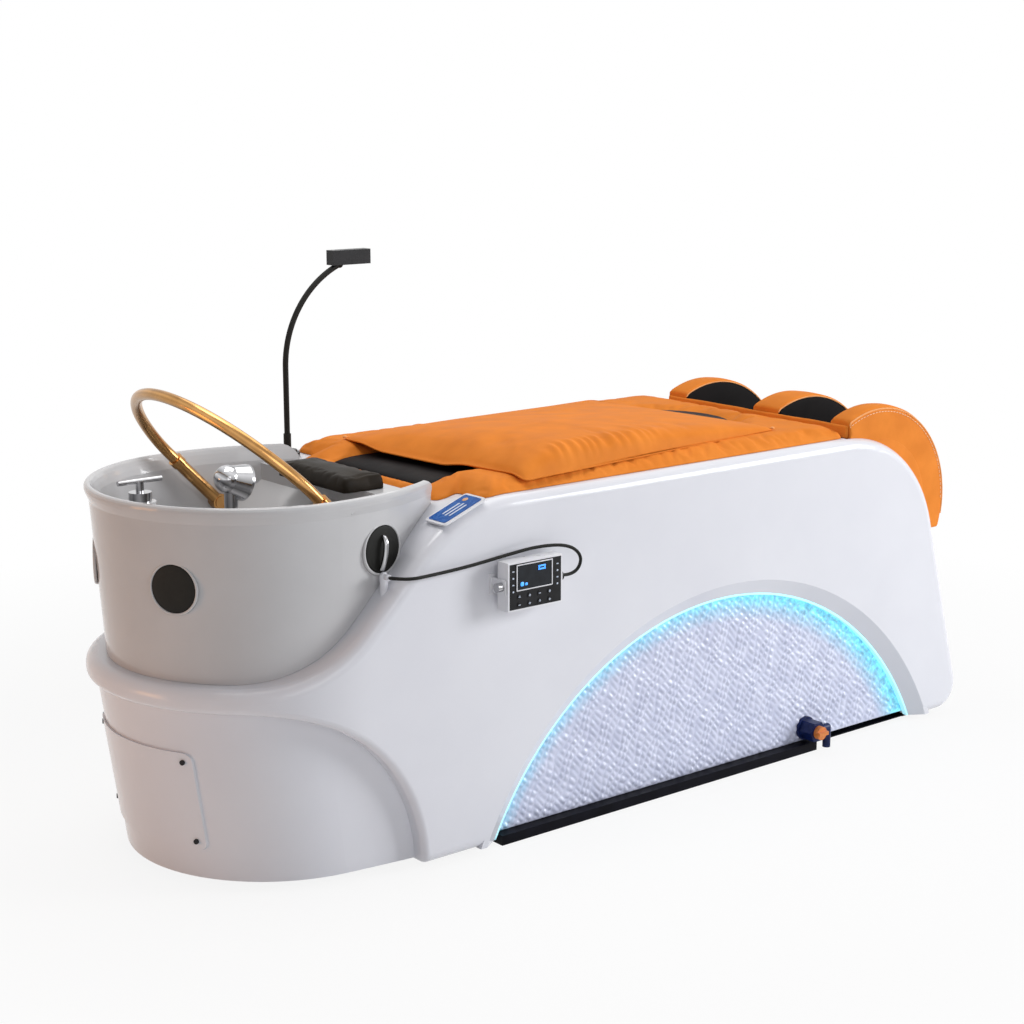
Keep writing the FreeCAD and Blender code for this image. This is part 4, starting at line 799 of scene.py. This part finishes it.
# Lit panels: moulded lozenges in slanted rows, with painted glow that grows brighter towards the light strip
ARCH_X = 250
ARCH_Z = -288.4
PANEL_RADIUS = 690
GLOW_WIDTH = 88
PANEL_Y = 312.4
PANEL_THICKNESS = 3
panel_glow = surface("panel_glow", (0.55, 0.58, 0.74), (0.66, 0.69, 0.84), 40, (0.20, 0.34), coat=0.3)
tree = panel_glow.node_tree
shader = tree.nodes["Principled BSDF"]
place = tree.nodes.new("ShaderNodeTexCoord")
level = tree.nodes.new("ShaderNodeVectorMath")
level.operation = "MULTIPLY"
level.inputs[1].default_value = (1, 0, 1)
tree.links.new(place.outputs["Object"], level.inputs[0])
reach = tree.nodes.new("ShaderNodeVectorMath")
reach.operation = "DISTANCE"
reach.inputs[1].default_value = ((ARCH_X - 16) * MM, 0, ARCH_Z * MM)
tree.links.new(level.outputs["Vector"], reach.inputs[0])
near_rim = spread(tree, reach.outputs["Value"], (PANEL_RADIUS - GLOW_WIDTH) * MM, PANEL_RADIUS * MM)
# Painted glow: emission that fades inward from the rim stands in for the strip's light spreading through the
# panel.
GLOW_STOPS = ((0.0, (0.02, 0.022, 0.03)), (0.35, (0.02, 0.04, 0.06)), (0.62, (0.02, 0.20, 0.26)),
              (0.85, (0.03, 0.58, 0.66)), (1.0, (0.22, 0.82, 0.92)))
painted_rim_glow = ramp(tree, near_rim, GLOW_STOPS)
tree.links.new(painted_rim_glow, shader.inputs["Emission Color"])
# Painted light: the base colour is tinted cyan towards the rim, standing in for the strip's light falling on
# the panel.
shade(tree, ramp(tree, near_rim, ((0.30, (1, 1, 1)), (1.0, (0.30, 0.78, 0.92)))))
# Painted sparkle: noise sets the emission's strength in spots, standing in for glints on the relief.
painted_sparkle = tree.nodes.new("ShaderNodeTexNoise")
painted_sparkle.inputs["Scale"].default_value = 1 / (11 * MM)
tree.links.new(place.outputs["Object"], painted_sparkle.inputs["Vector"])
power = spread(tree, painted_sparkle.outputs["Fac"], 0.36, 0.66, 0.20, 0.80)
tree.links.new(power, shader.inputs["Emission Strength"])


def lozenges(x, z):
    """Height of upright scales in leaning columns, every other column half a scale lower."""
    wander = 0.30 * np.sin(x / 31 + z / 19) + 0.26 * np.sin(x / 13 - z / 23)
    column = (x + 0.30 * z) / 10.5 + wander
    row = z / 11.5 - wander + 0.3 * np.sin(x / 7.7)
    size = 0.72 + 0.28 * np.sin(x / 8.3 + 1.7 * np.sin(z / 11.9)) * np.sin(z / 6.1 + 1.3 * np.sin(x / 14.7))
    return 5.2 * size * np.abs(np.cos(math.pi * (column + row) / 2) * np.cos(math.pi * (column - row) / 2))


def panel_inside(x, z):
    """Distance inside a lit panel's outline."""
    return np.minimum(PANEL_RADIUS - 0.4 - np.hypot(x - ARCH_X, z - ARCH_Z), z - 20.6)


for label, sign in (("front", -1), ("rear", 1)):
    x, z, depth, cells, runs = field(panel_inside, (ARCH_X - 630, ARCH_X + 630), (20, 404), 2.4)
    y = sign * (PANEL_Y + lozenges(x, z) * smooth(0, 6, depth))
    if sign > 0:
        cells = [tuple(reversed(cell)) for cell in cells]
    item = piece(label + "_panel_relief", np.stack([x, y, z], 1), cells, [panel_glow], "frame", "panel")
    thick = item.modifiers.new("thickness", "SOLIDIFY")
    thick.thickness = PANEL_THICKNESS * MM
    thick.offset = -1
    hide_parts(label + "_light_panel")

# Port rims on the basin, and a chrome pull on the near side port
BASIN_X = -697
NOSE_PORT_Z = 579
SIDE_PORT_Z = 626
SIDE_PORT_OFFSET = 93
BASIN_SIDE_RADIUS = 461.2


def basin_wall(z):
    """Outer radius of the bowl at a height."""
    return 286 + (z - 392) / 308 * 21


def port_places():
    """Centre and outward direction of the two nose ports, then of the two side ports."""
    places = []
    for sign in (-1, 1):
        turn = math.radians(180 - sign * 30)
        away = Vector((math.cos(turn), math.sin(turn), 0))
        places.append((Vector((BASIN_X, 0, NOSE_PORT_Z)) + away * basin_wall(NOSE_PORT_Z), away))
    arc_height = math.sqrt(BASIN_SIDE_RADIUS ** 2 - SIDE_PORT_OFFSET ** 2)
    side = basin_wall(SIDE_PORT_Z) - BASIN_SIDE_RADIUS + arc_height
    lean = math.asin(SIDE_PORT_OFFSET / BASIN_SIDE_RADIUS)
    for sign in (-1, 1):
        away = Vector((math.sin(lean), sign * math.cos(lean), 0))
        places.append((Vector((BASIN_X + SIDE_PORT_OFFSET, sign * side, SIDE_PORT_Z)), away))
    return places


RIM_PROFILE = [(44.6, -3), (44.6, 1.2), (45.4, 2.6), (47.2, 3.0), (49.0, 2.0), (49.8, -3)]
DOME_PROFILE = [(44.0, 0.6), (43.2, 2.0), (41, 2.6), (30, 3.4), (16, 3.9), (4, 4.0), (0.5, 4.0)]
rims = []
domes = []
for centre, away in port_places():
    rims.append(turned(RIM_PROFILE, centre, away, 56))
    domes.append(turned(DOME_PROFILE, centre, away, 56))
piece("port_rims", *merged(rims), [shaded_basin_white], "frame", "white_basin")
piece("port_faces", *merged(domes), [black_rubber], "frame", "black_rubber")
centre, away = port_places()[2]
beside = away.cross(Vector((0, 0, 1))).normalized()
pull = [centre + away * 3 + Vector((0, 0, 24)), centre + away * 13 + Vector((0, 0, 22)) + beside * 2,
        centre + away * 15 + beside * 4, centre + away * 13 + Vector((0, 0, -24)) + beside * 8,
        centre + away * 8 + Vector((0, 0, -36)) + beside * 10]
tube("port_pull", [pull], 5, chrome, "frame")

# Two small screw caps under the basin's rim
caps = []
for place in (Vector((-816.9, -284.5, 722)), Vector((-678.1, -307.4, 706))):
    away = Vector((place.x - BASIN_X, place.y, 0)).normalized()
    caps.append(turned([(3.6, -1), (3.6, 0.8), (2.6, 1.8), (0.4, 2.1)], place, away, 24))
piece("rim_screws", *merged(caps), [steel], "frame", "steel")

# Marks on the sloping key pad: bare pale bars and one warm dot
low, high = box_of("keypad_membrane")
slope = Vector((high.x - low.x, 0, high.z - low.z - 1)).normalized()
across = Vector((0, 1, 0))
normal = slope.cross(across)
if normal.z < 0:
    normal = -normal
origin = Vector(((low.x + high.x) / 2, (low.y + high.y) / 2, (low.z + high.z) / 2 + 0.8))
bars = []
for offset, half_length in ((-13, 22), (-3, 24), (7, 22)):
    bars.append(slab(origin + across * offset - slope * 4, slope * half_length, across * 2.1, 0.4, 1.6))
piece("keypad_bars", *merged(bars), [pale_print], "frame", "white_plastic")
DOT_PROFILE = [(6.0, 0), (6.0, 0.35), (5.2, 0.5), (0.5, 0.5)]
dot = turned(DOT_PROFILE, origin + slope * 32 + across * 8, normal, 24)
piece("keypad_dot", *dot, [warm_print], "frame", "orange_plastic")

# Screen frame, lit blocks and key marks of the control box
low, high = box_of("control_screen")
front_y = low.y
frame_lines = []
middle_x, middle_z = (low.x + high.x) / 2, (low.z + high.z) / 2
half_x, half_z = (high.x - low.x) / 2, (high.z - low.z) / 2
right = Vector((1, 0, 0))
up = Vector((0, 0, 1))
for sign in (-1, 1):
    level = (middle_x, front_y, middle_z + sign * half_z)
    upright = (middle_x + sign * half_x, front_y, middle_z)
    frame_lines.append(slab(level, right * (half_x + 1), up * 1.0, 0.7, 0.9))
    frame_lines.append(slab(upright, right * 1.0, up * (half_z + 1), 0.7, 0.9))
piece("screen_frame", *merged(frame_lines), [white_plastic], "controller", "white_plastic")
# Blocks lit on the screen: along, up, half width, half height and corner radius
BLOCKS = ((18, 10, 9, 1.5, 0.6), (18, 16, 9, 1.5, 0.6), (11, 13, 1.5, 4, 0.6), (25, 13, 1.5, 4, 0.6),
          (-30, -13, 4, 4, 2.5), (-20, -14, 3, 2.5, 1.5))
blocks = []
for along, lift, half_wide, half_tall, corner in BLOCKS:
    place = (middle_x + along, front_y, middle_z + lift)
    blocks.append(slab(place, right * half_wide, up * half_tall, 0.3, corner))
piece("screen_blocks", *merged(blocks), [screen_blue], "controller", "screen")
face_low, face_high = box_of("control_face")
marks = []
for side in (face_low.x + 9, face_high.x - 9):
    for row, size in enumerate((2.6, 2.0, 2.4, 1.8)):
        z = face_high.z - 14 - 13 * row
        marks.append(slab((side, face_low.y, z), right * size, up * (1.2 + 0.5 * (row % 2)), 0.3, 1.0))
piece("face_marks", *merged(marks), [pale_print], "controller", "white_plastic")
for number, name in enumerate(KEYS, 1):
    low, high = box_of(name)
    centre = Vector(((low.x + high.x) / 2, low.y, (low.z + high.z) / 2))
    signs = [slab(centre, right * 2.6, up * 0.7, 0.25, 0.6)]
    if number % 2 == 0:
        signs.append(slab(centre, right * 0.7, up * 2.6, 0.3, 0.6))
    if number % 3 == 1:
        signs.append(slab(centre + up * 2.2, right * 1.6, up * 0.5, 0.25, 0.4))
    piece("key_mark_%d" % number, *merged(signs), [pale_print], "key_%d" % number, "white_plastic")

# Floor, lights and backdrop
floor_mesh = bpy.data.meshes.new("floor")
floor_mesh.from_pydata([(-9, -9, 0), (9, -9, 0), (9, 9, 0), (-9, 9, 0)], [], [(0, 1, 2, 3)])
floor = bpy.data.objects.new("floor", floor_mesh)
scene.collection.objects.link(floor)
floor_look = bpy.data.materials.new("floor_white")
floor_look.use_nodes = True
tree = floor_look.node_tree
tree.nodes.clear()
matt = tree.nodes.new("ShaderNodeBsdfDiffuse")
matt.inputs["Color"].default_value = (0.82, 0.82, 0.82, 1)
white = tree.nodes.new("ShaderNodeEmission")
white.inputs["Strength"].default_value = 1.0
seen = any_ray(tree, "Is Camera Ray", "Is Glossy Ray")
place = tree.nodes.new("ShaderNodeTexCoord")
away = tree.nodes.new("ShaderNodeVectorMath")
away.operation = "LENGTH"
tree.links.new(place.outputs["Object"], away.inputs[0])
share = spread(tree, away.outputs["Value"], 1.2, 2.4, 0.88, 1.0)
factor = tree.nodes.new("ShaderNodeMath")
factor.operation = "MULTIPLY"
tree.links.new(seen, factor.inputs[0])
tree.links.new(share, factor.inputs[1])
blend = tree.nodes.new("ShaderNodeMixShader")
tree.links.new(factor.outputs["Value"], blend.inputs["Fac"])
tree.links.new(matt.outputs["BSDF"], blend.inputs[1])
tree.links.new(white.outputs["Emission"], blend.inputs[2])
output = tree.nodes.new("ShaderNodeOutputMaterial")
tree.links.new(blend.outputs["Shader"], output.inputs["Surface"])
floor_mesh.materials.append(floor_look)

world = bpy.data.worlds.new("studio")
scene.world = world
world.use_nodes = True
tree = world.node_tree
tree.nodes.clear()
ambient = tree.nodes.new("ShaderNodeBackground")
ambient.inputs["Color"].default_value = (0.94, 0.95, 1.0, 1)
ambient.inputs["Strength"].default_value = 0.20
backdrop = tree.nodes.new("ShaderNodeBackground")
backdrop.inputs["Color"].default_value = (1, 1, 1, 1)
seen = any_ray(tree, "Is Camera Ray", "Is Glossy Ray", "Is Transmission Ray")
blend = tree.nodes.new("ShaderNodeMixShader")
tree.links.new(seen, blend.inputs["Fac"])
tree.links.new(ambient.outputs["Background"], blend.inputs[1])
tree.links.new(backdrop.outputs["Background"], blend.inputs[2])
output = tree.nodes.new("ShaderNodeOutputWorld")
tree.links.new(blend.outputs["Shader"], output.inputs["Surface"])


def lamp(name, place, target, size, power, colour):
    """A square area lamp; places and size in metres, power in watts."""
    data = bpy.data.lights.new(name, "AREA")
    data.shape = "SQUARE"
    data.size = size
    data.energy = power
    data.color = colour
    item = bpy.data.objects.new(name, data)
    item.location = place
    item.rotation_euler = (Vector(target) - Vector(place)).to_track_quat("-Z", "Y").to_euler()
    scene.collection.objects.link(item)


lamp("key", (3.9, -3.5, 2.1), (0.1, 0, 0.4), 2.2, 195, (0.97, 0.98, 1.0))
lamp("fill", (-1.8, -4.0, 1.9), (-0.3, 0, 0.4), 2.2, 28, (0.98, 0.98, 1.0))
lamp("top", (0.4, 0.5, 3.4), (0.1, 0, 0.6), 2.6, 42, (1.0, 0.99, 0.97))
lamp("head_top", (-0.9, 0.1, 2.9), (-0.8, 0, 0.5), 0.9, 16, (1.0, 0.98, 0.96))
lamp("warm_fill", (-3.4, 0.7, 0.5), (-0.9, 0, 0.3), 1.0, 15, (1.0, 0.46, 0.17))

bpy.context.view_layer.update()
